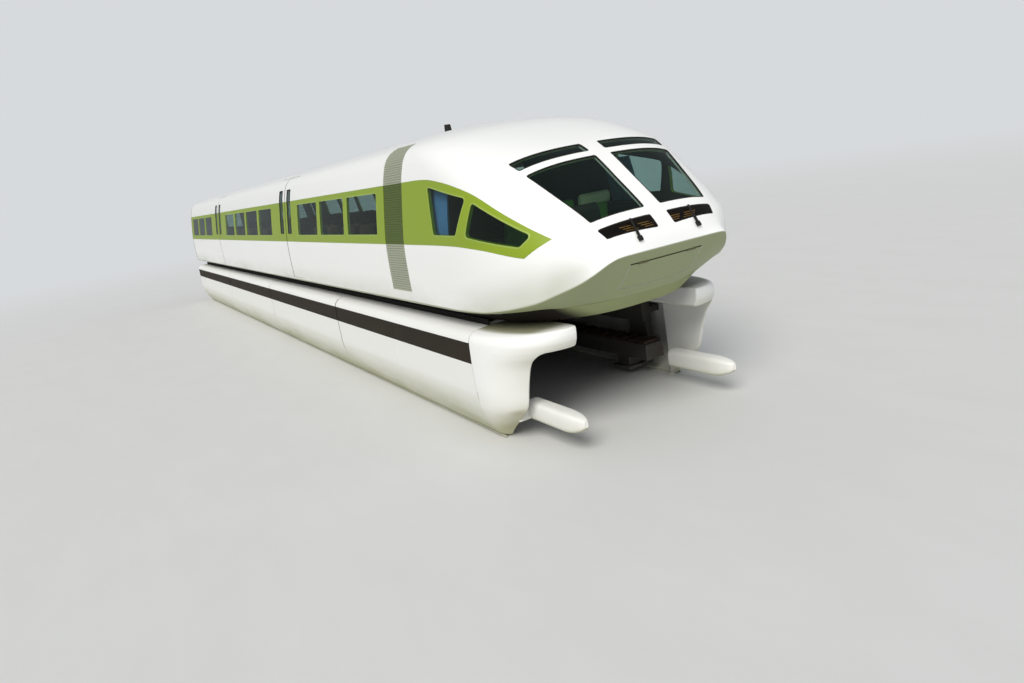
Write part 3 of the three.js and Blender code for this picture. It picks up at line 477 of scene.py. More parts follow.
def onScreen(y, s):
    # Places (y, s) of the windscreen plane on the skin, square to that plane
    x, z = rowsAcross(np.ravel(y), 1)
    dx, dz = x - screenPlane["origin"][0], z - screenPlane["origin"][2]
    rise = dx * screenUp[0] + dz * screenUp[2]
    depth = dx * screenOut[0] + dz * screenOut[2]
    high = skinTable[0] > bodyShape["chineRow"] + 0.2
    d = readAcross(np.ravel(s), rise[:, high], depth[:, high]).reshape(np.shape(y))
    base = np.array(screenPlane["origin"]) + np.asarray(s)[..., None] * screenUp + d[..., None] * screenOut
    base[..., 1] += y
    return base


onScreen.outward = tuple(screenOut)


def lifted(place, a, b, lift):
    # Point of the skin raised along its normal, which comes from two small steps
    step = 0.004
    da = place(a + step, b) - place(a - step, b)
    db = place(a, b + step) - place(a, b - step)
    normal = np.cross(da, db)
    normal /= np.linalg.norm(normal, axis=-1, keepdims=True)
    facing = np.sign(normal @ np.array(place.outward))
    return place(a, b) + normal * facing[..., None] * lift


def panePart(place, outline, depth, thickness, rings=8):
    # Slab under the skin: rings shrink from the outline to its middle, on two levels
    middle = outline.mean(axis=0)
    share = np.linspace(1, 0, rings, endpoint=False)[:, None, None]
    net = middle + (outline - middle) * share
    count = len(outline)
    layers, faces = [], []
    for number, lift in enumerate((-depth, -depth - thickness)):
        start = number * (rings * count + 1)
        quads = gridQuads(rings, count, closeColumns=True) + start
        last = start + (rings - 1) * count + np.arange(count)
        fan = np.stack([last, np.roll(last, -1), np.full(count, start + rings * count)], 1)
        faces += [quads[:, ::-1], fan[:, ::-1]] if number else [quads, fan]
        layers += [lifted(place, net[..., 0], net[..., 1], lift).reshape(-1, 3),
                   lifted(place, middle[:1], middle[1:], lift)]
    outer = np.arange(count)
    inner = outer + rings * count + 1
    faces.append(np.stack([outer, inner, np.roll(inner, -1), np.roll(outer, -1)], 1))
    return np.concatenate(layers), faces


def framePart(place, outline, profile):
    # Ring along an outline: the profile's (out, lift) points move it outwards and off the skin
    rings = []
    for out, lift in profile:
        moved = grownOutline(outline, out)
        rings.append(lifted(place, moved[:, 0], moved[:, 1], lift))
    quads = gridQuads(len(outline), len(profile), closeRows=True, closeColumns=True)
    return np.stack(rings, 1).reshape(-1, 3), [quads]


def bodySolid(name, inset, endX, bottomZ):
    # Closed solid of the skin moved inwards: a grid of rows by corner turns, right side first,
    # closed below, behind and along the crown
    table = fineRows(inset, bottomZ)
    coarse = np.array(bodyShape["rows"])
    lengths = np.linalg.norm(np.diff(coarse[:, 2:4], axis=0), axis=1)
    counts = np.ceil(lengths / bodyShape["rowSpacing"]).astype(int) + 2
    row = np.concatenate([i + np.arange(n) / n for i, n in enumerate(counts)] + [[len(counts)]])
    chine = bodyShape["chineRow"]
    row = row[np.abs(row - chine) > bodyShape["chineReach"]]
    row = np.sort(np.concatenate([row, chine + np.array(bodyShape["chineLoops"])]))
    turn = np.linspace(0, math.pi / 2, bodyShape["cornerSteps"] + 1)
    right = skin(row[:, None], turn[None], table)
    rear = right[:, :1].copy()
    rear[..., 0] = endX
    right = np.concatenate([rear, right], axis=1)
    net = np.concatenate([right * (1, -1, 1), right[:, -2::-1]], axis=1)
    rows, columns = net.shape[:2]
    j = np.arange(columns // 2)
    under = np.stack([j, j + 1, columns - 2 - j, columns - 1 - j], 1)
    i = np.arange(rows - 1)
    back = np.stack([i * columns, (i + 1) * columns, (i + 2) * columns - 1, (i + 1) * columns - 1], 1)
    return newObject(name, [(net.reshape(-1, 3), [gridQuads(rows, columns), under, back])], merge=2e-5)


# Shader groups and materials


def fill(tree, socket, value):
    # A socket takes a link, a colour of three numbers, or a plain value; None leaves it alone
    if isinstance(value, bpy.types.NodeSocket):
        tree.links.new(value, socket)
    elif isinstance(value, tuple) and socket.type == "RGBA":
        socket.default_value = (*value, 1)
    elif value is not None:
        socket.default_value = value


def addNode(tree, kind, inputs=None, **settings):
    node = tree.nodes.new("ShaderNode" + kind)
    for key, value in settings.items():
        setattr(node, key, value)
    for key, value in (inputs or {}).items():
        fill(tree, node.inputs[key], value)
    return node


def mathNode(tree, operation, first, second, clamp=False):
    return addNode(tree, "Math", {0: first, 1: second}, operation=operation, use_clamp=clamp).outputs[0]


def smoothFade(tree, value, low=0.0, high=1.0, start=0.0, end=1.0):
    # Smooth step from start to end while the value runs from low to high
    ranges = {"Value": value, "From Min": low, "From Max": high, "To Min": start, "To Max": end}
    return addNode(tree, "MapRange", ranges, interpolation_type="SMOOTHSTEP").outputs[0]


def noiseNode(tree, vector, scale, detail, roughness=0.5):
    values = {"Vector": vector, "Scale": scale, "Detail": detail, "Roughness": roughness}
    return addNode(tree, "TexNoise", values).outputs[0]


def mixColours(tree, share, first, second):
    return addNode(tree, "Mix", {0: share, 6: first, 7: second}, data_type="RGBA").outputs[2]


def newGroup(name, inputs, outputs):
    group = bpy.data.node_groups.new(name, "ShaderNodeTree")
    for socket, value in inputs.items():
        group.interface.new_socket(socket, in_out="INPUT", socket_type="NodeSocketFloat").default_value = value
    for socket in outputs:
        group.interface.new_socket(socket, in_out="OUTPUT", socket_type="NodeSocketFloat")
    return group, group.nodes.new("NodeGroupInput").outputs, group.nodes.new("NodeGroupOutput").inputs


def makeDustAndShadeGroup():
    # Mask of road dust and painted shade: cloudy noise times a fade that grows downwards, plus painted shade on
    # faces that look down
    given = {"Scale": 1.2, "Low": 0.0, "High": 2.0, "Underside": 0.5}
    group, given, out = newGroup("dustAndUndersideShadeMask", given, ["Mask", "Cloud"])
    place = addNode(group, "TexCoord").outputs
    stretch = addNode(group, "Mapping", {"Vector": place["Object"], "Scale": (0.45, 1.0, 1.6)})
    noise = noiseNode(group, stretch.outputs[0], given["Scale"], 7, 0.62)
    height = addNode(group, "SeparateXYZ", {0: place["Object"]}).outputs["Z"]
    tilt = addNode(group, "SeparateXYZ", {0: place["Normal"]}).outputs["Z"]
    # Painted shade: the more a face looks down, the more it takes the dust colour as shade
    under = mathNode(group, "MULTIPLY", tilt, -1.25, clamp=True)
    under = mathNode(group, "MULTIPLY", under, given["Underside"])
    cloud = mathNode(group, "MULTIPLY", mathNode(group, "SUBTRACT", noise, 0.28), 1.9, clamp=True)
    low = mathNode(group, "MULTIPLY", smoothFade(group, height, given["Low"], given["High"], 1.0, 0.0), cloud)
    fill(group, out["Mask"], mathNode(group, "ADD", low, under, clamp=True))
    fill(group, out["Cloud"], cloud)
    return group


def makeGrainGroup():
    # Fine height for bump: small noise, with a slow wave that stands for sheet metal
    group, given, out = newGroup("surfaceGrain", {"Fine": 180.0, "Broad": 1.4, "Wave": 0.3}, ["Height"])
    place = addNode(group, "TexCoord").outputs["Object"]
    fine = mathNode(group, "MULTIPLY", noiseNode(group, place, given["Fine"], 3), 0.02)
    wave = mathNode(group, "MULTIPLY", noiseNode(group, place, given["Broad"], 1), given["Wave"])
    fill(group, out["Height"], mathNode(group, "ADD", fine, wave))
    return group


dustAndShadeGroup = makeDustAndShadeGroup()
grainGroup = makeGrainGroup()


def bothSides(tree):
    # Object coordinates without their signs, so that a mask is the same on both sides
    place = addNode(tree, "TexCoord").outputs["Object"]
    return addNode(tree, "VectorMath", {0: place}, operation="ABSOLUTE").outputs[0]


def placeMask(tree, under):
    # Product of smooth rises from 0 to 1, one for each axis that is given
    split, share = addNode(tree, "SeparateXYZ", {0: bothSides(tree)}), 1.0
    for axis in [name for name in "XYZ" if name in under]:
        share = mathNode(tree, "MULTIPLY", smoothFade(tree, split.outputs[axis], *under[axis]), share)
    return share


def stainMask(tree, stain):
    # The given share at the stain's centre, falling to 0 at an ellipsoid round it
    shift = tuple(-c / s for c, s in zip(stain["centre"], stain["size"]))
    scaled = addNode(tree, "Mapping", {"Vector": bothSides(tree), "Location": shift,
                                       "Scale": tuple(1 / s for s in stain["size"])})
    length = addNode(tree, "VectorMath", {0: scaled.outputs[0]}, operation="LENGTH")
    return smoothFade(tree, length.outputs["Value"], start=stain["share"], end=0.0)


def newMaterial(name, **values):
    # A material with its tree and its shader; underscores in the names stand for spaces
    material = bpy.data.materials.new(name)
    material.use_nodes = True
    shader = material.node_tree.nodes["Principled BSDF"]
    for key, value in values.items():
        shader.inputs[key.replace("_", " ")].default_value = value
    return material, material.node_tree, shader


def useGroup(tree, group, **values):
    return addNode(tree, "Group", values, node_tree=group).outputs


def paintMaterial(name, colour, dustAndShadeColour, roughness=0.3, coat=0.5, dustAndShade=(1.2, 0.0, 2.0, 0.5),
                  dustAndShadeShare=0.6, cloudShare=0.08, wave=0.0, fine=180.0, bump=0.02, metallic=0.0, under=None,
                  shine=0.5, stain=None):
    # Paint: base colour, cloudy unevenness, dust by height, painted shade in the dust colour on undersides,
    # fine grain; under is a second colour by place, used as painted shade, and stain a soft spot round a
    # point and its mirror image
    material, tree, shader = newMaterial(name, Coat_Weight=coat, Coat_Roughness=0.18, Metallic=metallic,
                                         Specular_IOR_Level=shine)
    # The fourth number of dust is the share of painted shade on faces that look down
    mask = useGroup(tree, dustAndShadeGroup, Scale=dustAndShade[0], Low=dustAndShade[1], High=dustAndShade[2], Underside=dustAndShade[3])
    soiledAndShaded = mathNode(tree, "MULTIPLY", mask["Mask"], dustAndShadeShare)
    base = mixColours(tree, mathNode(tree, "MULTIPLY", mask["Cloud"], cloudShare), colour, dustAndShadeColour)
    if under:
        base = mixColours(tree, placeMask(tree, under), base, under["colour"])
    if stain:
        base = mixColours(tree, stainMask(tree, stain), base, stain["colour"])
    fill(tree, shader.inputs["Base Color"], mixColours(tree, soiledAndShaded, base, dustAndShadeColour))
    rough = {"Value": soiledAndShaded, "To Min": roughness, "To Max": min(roughness + 0.35, 1.0)}
    fill(tree, shader.inputs["Roughness"], addNode(tree, "MapRange", rough).outputs[0])
    grain = useGroup(tree, grainGroup, Fine=fine, Wave=wave)["Height"]
    height = addNode(tree, "Bump", {"Strength": 0.5, "Distance": bump, "Height": grain})
    fill(tree, shader.inputs["Normal"], height.outputs[0])
    return material


def glassMaterial(name, colour, tint, clearness):
    # Tinted sheet: see-through straight on, more like a mirror at a slant. Of a pane's two
    # faces only the one that faces the viewer shows and tints
    material, tree, shader = newMaterial(name, Roughness=0.03, IOR=1.52, Specular_IOR_Level=0.8)
    mask = useGroup(tree, dustAndShadeGroup, Scale=2.5, Low=1.5, High=4.5, Underside=0.0)
    film = mathNode(tree, "MULTIPLY", mask["Cloud"], 0.03)
    fill(tree, shader.inputs["Base Color"], mixColours(tree, film, colour, (0.35, 0.36, 0.30)))
    slant = addNode(tree, "Fresnel", {"IOR": 1.5}).outputs[0]
    share = addNode(tree, "MapRange", {"Value": mathNode(tree, "ADD", slant, film), "To Min": 1 - clearness})
    front = mathNode(tree, "SUBTRACT", 1.0, addNode(tree, "NewGeometry").outputs["Backfacing"])
    clear = addNode(tree, "BsdfTransparent", {"Color": mixColours(tree, front, (1.0, 1.0, 1.0), tint)})
    mixed = addNode(tree, "MixShader", {0: mathNode(tree, "MULTIPLY", share.outputs[0], front),
                                        1: clear.outputs[0], 2: shader.outputs[0]})
    fill(tree, tree.nodes["Material Output"].inputs["Surface"], mixed.outputs[0])
    return material


materials = {
    # whitePaint: its olive dust colour, with the large underside share, is mostly painted shade on the chin and
    # other faces that look down
    "white": paintMaterial("whitePaint", (0.84, 0.84, 0.82), (0.25, 0.285, 0.115), 0.34, 0.2,
                           dustAndShade=(0.9, 1.55, 2.2, 1.3), dustAndShadeShare=0.92, cloudShare=0.03, wave=0.02),
    "skirt": paintMaterial("skirtPaint", (0.80, 0.80, 0.77), (0.40, 0.41, 0.22), 0.5, 0.1,
                           dustAndShade=(1.1, -0.1, 0.85, 0.7), dustAndShadeShare=0.85, cloudShare=0.05, wave=0.03),
    # fairingPaint: the olive under colour on the top, near the body, is painted shade of the body's shadow; the
    # stain is a brown smudge
    "fairing": paintMaterial("fairingPaint", (0.83, 0.83, 0.81), (0.40, 0.39, 0.21), 0.45, 0.1,
                             dustAndShade=(1.1, -0.1, 0.75, 0.7), dustAndShadeShare=0.85, cloudShare=0.03,
                             under={"colour": (0.27, 0.27, 0.17), "X": (12.74, 12.44), "Z": (1.526, 1.546)},
                             stain={"centre": (12.16, 1.60, 0.44), "size": (0.30, 0.16, 0.10), "share": 0.6,
                                    "colour": (0.36, 0.22, 0.09)}),
    "green": paintMaterial("greenPaint", (0.235, 0.330, 0.016), (0.20, 0.25, 0.03), 0.42, 0.06,
                           dustAndShade=(1.5, 2.0, 3.4, 0.2), dustAndShadeShare=0.2, cloudShare=0.12, shine=0.35),
    "frameGreen": paintMaterial("frameGreen", (0.30, 0.40, 0.08), (0.20, 0.25, 0.06), 0.45, 0.05,
                                dustAndShadeShare=0.15, shine=0.35),
    "stripe": paintMaterial("stripePaint", (0.016, 0.011, 0.006), (0.05, 0.04, 0.025), 0.7, 0.0,
                            dustAndShade=(2.5, 0.8, 1.8, 0.2), dustAndShadeShare=0.25, cloudShare=0.2, shine=0.2),
    "seam": paintMaterial("seamRubber", (0.012, 0.012, 0.010), (0.04, 0.035, 0.025), 0.85, 0.0, shine=0.2),
    # flapSeam: dark olive, the painted shade of the seam round the nose flap
    "flapSeam": paintMaterial("flapSeam", (0.14, 0.14, 0.075), (0.10, 0.10, 0.06), 0.8, 0.0, shine=0.2),
    # panPaintedShade: near black as painted shade of the recess under the body, and olive at its front as
    # painted shade of the chin
    "pan": paintMaterial("panPaintedShade", (0.010, 0.008, 0.006), (0.04, 0.03, 0.02), 0.8, 0.0,
                         dustAndShade=(2.0, 1.4, 2.0, 0.2), dustAndShadeShare=0.2, cloudShare=0.2, shine=0.2,
                         under={"colour": (0.32, 0.355, 0.175), "X": (12.60, 12.84)}),
    "lip": paintMaterial("lipPaint", (0.46, 0.47, 0.37), (0.24, 0.23, 0.14), 0.5, 0.1),
    "louvreLight": paintMaterial("louvreLight", (0.30, 0.32, 0.235), (0.14, 0.14, 0.09), 0.5, 0.05),
    "louvreGreen": paintMaterial("louvreGreen", (0.065, 0.10, 0.010), (0.05, 0.06, 0.02), 0.5, 0.05, shine=0.3),
    "lining": paintMaterial("cabinLining", (0.46, 0.47, 0.40), (0.22, 0.22, 0.17), 0.7, 0.0,
                            dustAndShadeShare=0.2, fine=90.0, bump=0.01),
    "darkLining": paintMaterial("darkLining", (0.07, 0.06, 0.05), (0.09, 0.08, 0.06), 0.8, 0.0),
    "carpet": paintMaterial("floorCarpet", (0.09, 0.085, 0.06), (0.05, 0.045, 0.03), 0.95, 0.0, bump=0.05),
    "chassis": paintMaterial("chassisSteel", (0.10, 0.105, 0.10), (0.16, 0.13, 0.085), 0.5, 0.1,
                             dustAndShadeShare=0.7, cloudShare=0.3, metallic=0.4),
    "magnet": paintMaterial("magnetCasing", (0.05, 0.055, 0.06), (0.13, 0.10, 0.07), 0.45, 0.2,
                            dustAndShadeShare=0.6, cloudShare=0.3, metallic=0.3),
    "copper": paintMaterial("coilWinding", (0.06, 0.032, 0.018), (0.05, 0.04, 0.03), 0.5, 0.0, metallic=0.3),
    "rubber": paintMaterial("bellowsRubber", (0.03, 0.03, 0.026), (0.08, 0.075, 0.06), 0.85, 0.0,
                            cloudShare=0.3, fine=300.0),
    "seat": paintMaterial("seatFabric", (0.20, 0.11, 0.065), (0.14, 0.09, 0.06), 0.95, 0.0, fine=700.0,
                          bump=0.06, cloudShare=0.3),
    "seatGreen": paintMaterial("cabSeatFabric", (0.13, 0.42, 0.06), (0.12, 0.30, 0.07), 0.9, 0.0,
                               fine=700.0, bump=0.06),
    "paleGreen": paintMaterial("paleCover", (0.74, 0.84, 0.56), (0.5, 0.58, 0.4), 0.7, 0.0, fine=500.0),
    "plastic": paintMaterial("deskPlastic", (0.10, 0.15, 0.08), (0.08, 0.09, 0.05), 0.5, 0.1, fine=300.0),
    "black": paintMaterial("blackPlastic", (0.010, 0.009, 0.008), (0.04, 0.035, 0.025), 0.6, 0.0, shine=0.25),
    # lampReflectorGlint: bright gold, a painted glint on the lamp bars
    "glintGold": paintMaterial("lampReflectorGlint", (0.95, 0.76, 0.34), (0.6, 0.45, 0.2), 0.2, 0.3, metallic=0.4),
    "steel": paintMaterial("brightSteel", (0.45, 0.45, 0.43), (0.2, 0.18, 0.14), 0.3, 0.2, metallic=0.9),
    "curtain": paintMaterial("curtainCloth", (0.30, 0.50, 0.82), (0.16, 0.28, 0.46), 0.9, 0.0, fine=600.0),
    "glass": glassMaterial("windowGlass", (0.03, 0.045, 0.035), (0.48, 0.62, 0.60), 0.88),
    "cabGlass": glassMaterial("cabSideGlass", (0.03, 0.045, 0.035), (0.40, 0.55, 0.57), 0.88),
    "screenGlass": glassMaterial("screenGlass", (0.02, 0.04, 0.035), (0.66, 0.80, 0.71), 0.90),
    "lampGlass": glassMaterial("lampGlass", (0.012, 0.008, 0.005), (0.60, 0.50, 0.34), 0.86),
}
print("materials made:", len(materials))

# Body panels
bands = {"bottomZ": 2.655, "topZ": 3.53, "gap": 0.0015}
louvre = {"startX": 9.04, "endX": 9.79, "bottomZ": 1.95, "topZ": 4.045, "pitch": 0.036, "depth": 0.010,
          "wall": 0.04, "samplesPerSlat": 6}
doors = {
    "centres": {"front": 2.73, "rear": -6.63}, "halfWidth": 0.745, "bottomZ": 1.84, "topZ": 4.02,
    "seam": 0.008, "middle": 0.024, "sealFrom": 0.003, "sealTo": 0.030, "grooveDepth": 0.032,
    "paneOffset": 0.35, "paneHalfWidth": 0.16, "paneBottom": 2.83, "paneTop": 3.78,
}
windows = {
    "groups": {"front": (3.80, 8.71, 3), "middle": (-5.21, 1.32, 4), "rear": (-12.90, -8.05, 3)},
    "post": 0.21, "bottomZ": 2.80, "topZ": 3.43, "corner": 0.035,
}
cab = {
    "bandBelow": [(9.7885, 2.655), (10.60, 2.655), (11.35, 2.648), (12.05, 2.600), (12.76, 2.475)],
    "bandAbove": [(9.7885, 3.530), (10.25, 3.530), (10.62, 3.518), (11.20, 3.440), (11.80, 3.280),
                  (12.40, 2.985), (13.03, 2.655)],
    "panes": [[(10.85, 2.79), (11.51, 2.78), (11.74, 3.22), (10.69, 3.42)],
              [(11.75, 2.76), (12.70, 2.605), (12.81, 2.718), (11.87, 3.16)]],
    "corner": 0.05,
}
screens = {
    "main": [(0.118, -0.465), (0.876, -0.460), (1.116, 0.565), (0.116, 0.577)],
    "upper": [(0.122, 0.690), (1.135, 0.680), (1.170, 0.880), (0.135, 0.890)],
    "lamp": [(0.120, -0.780), (0.815, -0.730), (0.870, -0.578), (0.120, -0.584)],
    "corner": 0.03,
}
# Profiles of what lies round a pane, as (out, lift): the raised frame, and the dark rubber line
trim = {
    "frame": [(0.002, -0.006), (0.002, 0.002), (0.014, 0.003), (0.018, 0.001), (0.018, -0.006)],
    "rubber": [(-0.014, -0.012), (-0.014, -0.001), (0.001, 0.0025), (0.001, -0.012)],
}


def paneOutlines(group):
    first, last, count = windows["groups"][group]
    pitch = (last - first + windows["post"]) / count
    starts = [first + i * pitch for i in range(count)]
    return [roundedOutline(rectangle(x, x + pitch - windows["post"], windows["bottomZ"], windows["topZ"]),
                           windows["corner"], 0.12) for x in starts]


def leafOutline(centre, way):
    middle, half = centre + way * doors["paneOffset"], doors["paneHalfWidth"]
    corners = rectangle(middle - half, middle + half, doors["paneBottom"], doors["paneTop"])
    return roundedOutline(corners, 0.03, 0.06)


def bandOutline():
    # Monotone curves through the points below and above, joined at the tip
    lines = []
    for key in ("bandBelow", "bandAbove"):
        x, z = np.array(cab[key]).T
        at = np.linspace(x[0], x[-1], 28)
        lines.append(np.stack([at, smoothThrough(x, z, at)], 1))
    return np.concatenate([lines[0], lines[1][::-1]])


def mirroredY(outline, side):
    outline = np.asarray(outline, float)
    return outline if side > 0 else (outline * (-1, 1))[::-1]


def throughScreen(outline):
    origin = np.array(screenPlane["origin"])

    def place(y, s, d):
        return origin + np.stack([0 * y, y, 0 * y], -1) + s[:, None] * screenUp + d * screenOut
    return prismPart(outline, place, -screenPlane["inward"], screenPlane["outward"])


def throughSide(side, outline, near=1.2):
    return alongY(outline, *sideSpan(side, near, farOut))


def makeShell():
    # Solid of the whole skin less the solid of its inside, which brings the second material
    outer = bodySolid("shellSource", 0.0, bodyShape["rearX"], bodyShape["bottomZ"])
    inner = bodySolid("insideSource", bodyShape["wall"], bodyShape["rearX"] - 0.5, bodyShape["bottomZ"] - 0.08)
    inner.data.polygons.foreach_set("material_index", np.ones(len(inner.data.polygons), np.int32))
    for solid in (inner, outer):
        for name in ("white", "darkLining"):
            solid.data.materials.append(materials[name])
    return carve(outer, inner)


def panelFrom(shell, name, regions, holes=None):
    # One panel of the shell: what lies in the regions, less the holes
    panel = carve(copyOf(shell, name), regions, "INTERSECT")
    return carve(panel, holes) if holes else panel


def paintBetween(piece, low, high, index):
    # Cuts the mesh at two heights and gives the outer faces between them another material
    work = bmesh.new()
    work.from_mesh(piece.data)
    for z in (low, high):
        everything = list(work.verts) + list(work.edges) + list(work.faces)
        bmesh.ops.bisect_plane(work, geom=everything, plane_co=(0, 0, z), plane_no=(0, 0, 1))
    work.to_mesh(piece.data)
    work.free()
    faces = piece.data.polygons
    current, z = np.zeros(len(faces), np.int32), readVectors(faces, "center")[:, 2]
    faces.foreach_get("material_index", current)
    faces.foreach_set("material_index", np.where((z > low) & (z < high) & (current == 0), index, current))


def ringGroove(x):
    # Thin closed band round the section at x, from just outside the skin to the groove's floor
    outside, inside = sectionAt(x, -0.03)[0][::16], sectionAt(x, doors["grooveDepth"])[0][::16]
    loop = np.concatenate([outside, inside[::-1]])
    return [alongX(l, x - doors["middle"], x + doors["middle"]) for l in (loop, mirroredY(loop, -1))]


def joinObjects(target, other):
    with bpy.context.temp_override(active_object=target, selected_editable_objects=[target, other]):
        bpy.ops.object.join()


def makeBody(shell):
    gap, centres, reach = bands["gap"], doors["centres"], doors["halfWidth"]
    front = louvre["startX"] - gap
    doorways = [sideBox(side, c - reach, c + reach, 1.2, farOut, doors["bottomZ"], doors["topZ"])
                for side in sides.values() for c in centres.values()]
    region = boxPart(-14, front, -farOut, farOut, bands["topZ"] + gap, 4.4)
    roof = panelFrom(shell, "roofSkin", [region], doorways)
    for x in centres.values():
        for part in ringGroove(x):
            carve(roof, [part])
    finishPiece(roof, "white_paint", "white lining", ["roof"])
    ends = {
        "front": (centres["front"] + reach + gap, front),
        "middle": (centres["rear"] + reach + gap, centres["front"] - reach - gap),
        "rear": (-14, centres["rear"] - reach - gap),
    }
    for name, side in sides.items():
        low = name.lower()
        region = sideBox(side, -14, front, 0.6, farOut, 1.7, bands["bottomZ"] - gap)
        lower = panelFrom(shell, f"lowerSide{name}", [region], doorways)
        sill = sideBox(side, front + gap, louvre["endX"] - gap, 0.6, farOut, 1.7, louvre["bottomZ"] - gap)
        joinObjects(lower, panelFrom(shell, "louvreSill", [sill]))
        finishPiece(lower, "white_paint", "white lining", [f"side_lower_{low}"])
        for place, (x0, x1) in ends.items():
            region = sideBox(side, x0, x1, 0.6, farOut, bands["bottomZ"], bands["topZ"])
            band = panelFrom(shell, f"windowBand{place.title()}{name}", [region],
                             [throughSide(side, o) for o in paneOutlines(place)])
            finishPiece(band, "green_paint", "green lining", [f"band_{place}_{low}"])
        makeDoors(shell, name, side)
    print("body panels made")


def makeDoors(shell, name, side):
    for place, centre in doors["centres"].items():
        for leaf, way in (("fore", 1), ("aft", -1)):
            x0, x1 = sorted(centre + way * d for d in (doors["middle"], doors["halfWidth"] - doors["seam"]))
            region = sideBox(side, x0, x1, 1.2, farOut, doors["bottomZ"] + 0.006, doors["topZ"] - 0.006)
            door = panelFrom(shell, f"door{place.title()}{name}{leaf.title()}", [region],
                             [throughSide(side, leafOutline(centre, way))])
            paintBetween(door, bands["bottomZ"], bands["topZ"], 2)
            finishPiece(door, "white_paint", "white lining green", [f"door_{place}_{name.lower()}_{leaf}"])


def sealPart(x, width, side, high):
    # Rubber in a seam: the section at x below a height, as a thin closed band
    outside, inside = (sectionAt(x, doors[key])[0] for key in ("sealFrom", "sealTo"))
    used = (outside[:, 1] > doors["bottomZ"] + 0.004) & (outside[:, 1] < high)
    loop = np.concatenate([outside[used][::12], inside[used][::-12]])
    return alongX(mirroredY(loop, side), x - width / 2, x + width / 2)


def makeDoorSeals():
    for name, side in sides.items():
        parts = []
        for centre in doors["centres"].values():
            parts.append(sealPart(centre, 1.9 * doors["middle"], side, 4.6))
            for way in (-1, 1):
                edge = centre + way * (doors["halfWidth"] - doors["seam"] / 2)
                parts.append(sealPart(edge, 0.8 * doors["seam"], side, doors["topZ"] - 0.004))
        addPiece(f"doorSeals{name}", parts, "black_plastic", "seam")


def addPanes(names, place, outlines, glass, replaced=(), profile="frame", thickness=0.008, rings=8):
    # Panes lie just under the skin; each has a raised frame or a dark rubber line round it
    panes = [panePart(place, grownOutline(o, -0.002), 0.006, thickness, rings) for o in outlines]
    addPiece(names[0], panes, "tinted_glass", glass, replaced)
    slot, finish = {"frame": ("green_paint", "frameGreen"), "rubber": ("black_plastic", "seam")}[profile]
    addPiece(names[1], [framePart(place, o, trim[profile]) for o in outlines], slot, finish)


def makeGlazing():
    for name, side in sides.items():
        low, place = name.lower(), onSide(side)
        for group in windows["groups"]:
            title = group.title() + name
            addPanes((f"panes{title}", f"paneFrames{title}"), place, paneOutlines(group), "glass",
                     [f"glass_{group}_{low}"])
        leaves = [leafOutline(c, way) for c in doors["centres"].values() for way in (1, -1)]
        addPanes((f"doorPanes{name}", f"doorPaneRubber{name}"), place, leaves, "glass", profile="rubber")
        outlines = [roundedOutline(o, cab["corner"], 0.06) for o in cab["panes"]]
        addPanes((f"cabPanes{name}", f"cabPaneFrames{name}"), place, outlines, "cabGlass",
                 [f"cab_side_glass_{low}"], rings=10)
        shapes = [roundedOutline(mirroredY(screens[key], side), screens["corner"], 0.06)
                  for key in ("main", "upper")]
        addPanes((f"screenPanes{name}", f"screenRubber{name}"), onScreen, shapes, "screenGlass",
                 [f"windscreen_{low}"], "rubber", 0.010, 14)
    print("glazing made")


lamps = {"depth": 0.16, "rows": 3, "barHeight": 0.009, "barHalf": 0.085,
         "centres": [(0.21, -0.678), (0.47, -0.668)]}


def makeLamps():
    # A dark box behind each cover, with two groups of bright bars in it; the bars' bright gold is a painted
    # glint
    high, long = lamps["barHeight"] / 2, lamps["barHalf"]
    for name, side in sides.items():
        outline = roundedOutline(mirroredY(screens["lamp"], side), 0.02, 0.05)
        addPiece(f"lampCover{name}", [panePart(onScreen, grownOutline(outline, -0.003), 0.004, 0.006)],
                 "lamp_cover", "lampGlass", [f"lamp_panel_{name.lower()}"])
        wall = [(-0.014, -0.004), (0.0, -0.002), (0.0, -lamps["depth"]), (-0.014, -lamps["depth"])]
        floor = panePart(onScreen, grownOutline(outline, -0.004), lamps["depth"] - 0.012, 0.010, 6)
        addPiece(f"lampHousing{name}", [framePart(onScreen, outline, wall), floor], "black_plastic", "black")
        parts = []
        for y, s in lamps["centres"]:
            middle = lifted(onScreen, np.array([side * y]), np.array([s]), -0.045)[0]
            for i in range(lamps["rows"]):
                centre = middle + screenUp * (i - 1) * 0.034 + (0, side * (i - 1) * 0.03, 0)
                points, faces = boxPart(-0.007, 0.007, -long, long, -high, high)
                parts.append((points + centre, faces))
        addPiece(f"lampGlintBars{name}", parts, "lamp_cover", "glintGold", bevel=0.003)


def pleatedRing(x, outer, inner):
    # Closed loop of two half sections and their mirror images, at x
    loop = np.concatenate([outer, (outer * (-1, 1))[-2::-1], inner * (-1, 1), inner[-2::-1]])
    return np.column_stack([np.full(len(loop), x), loop])


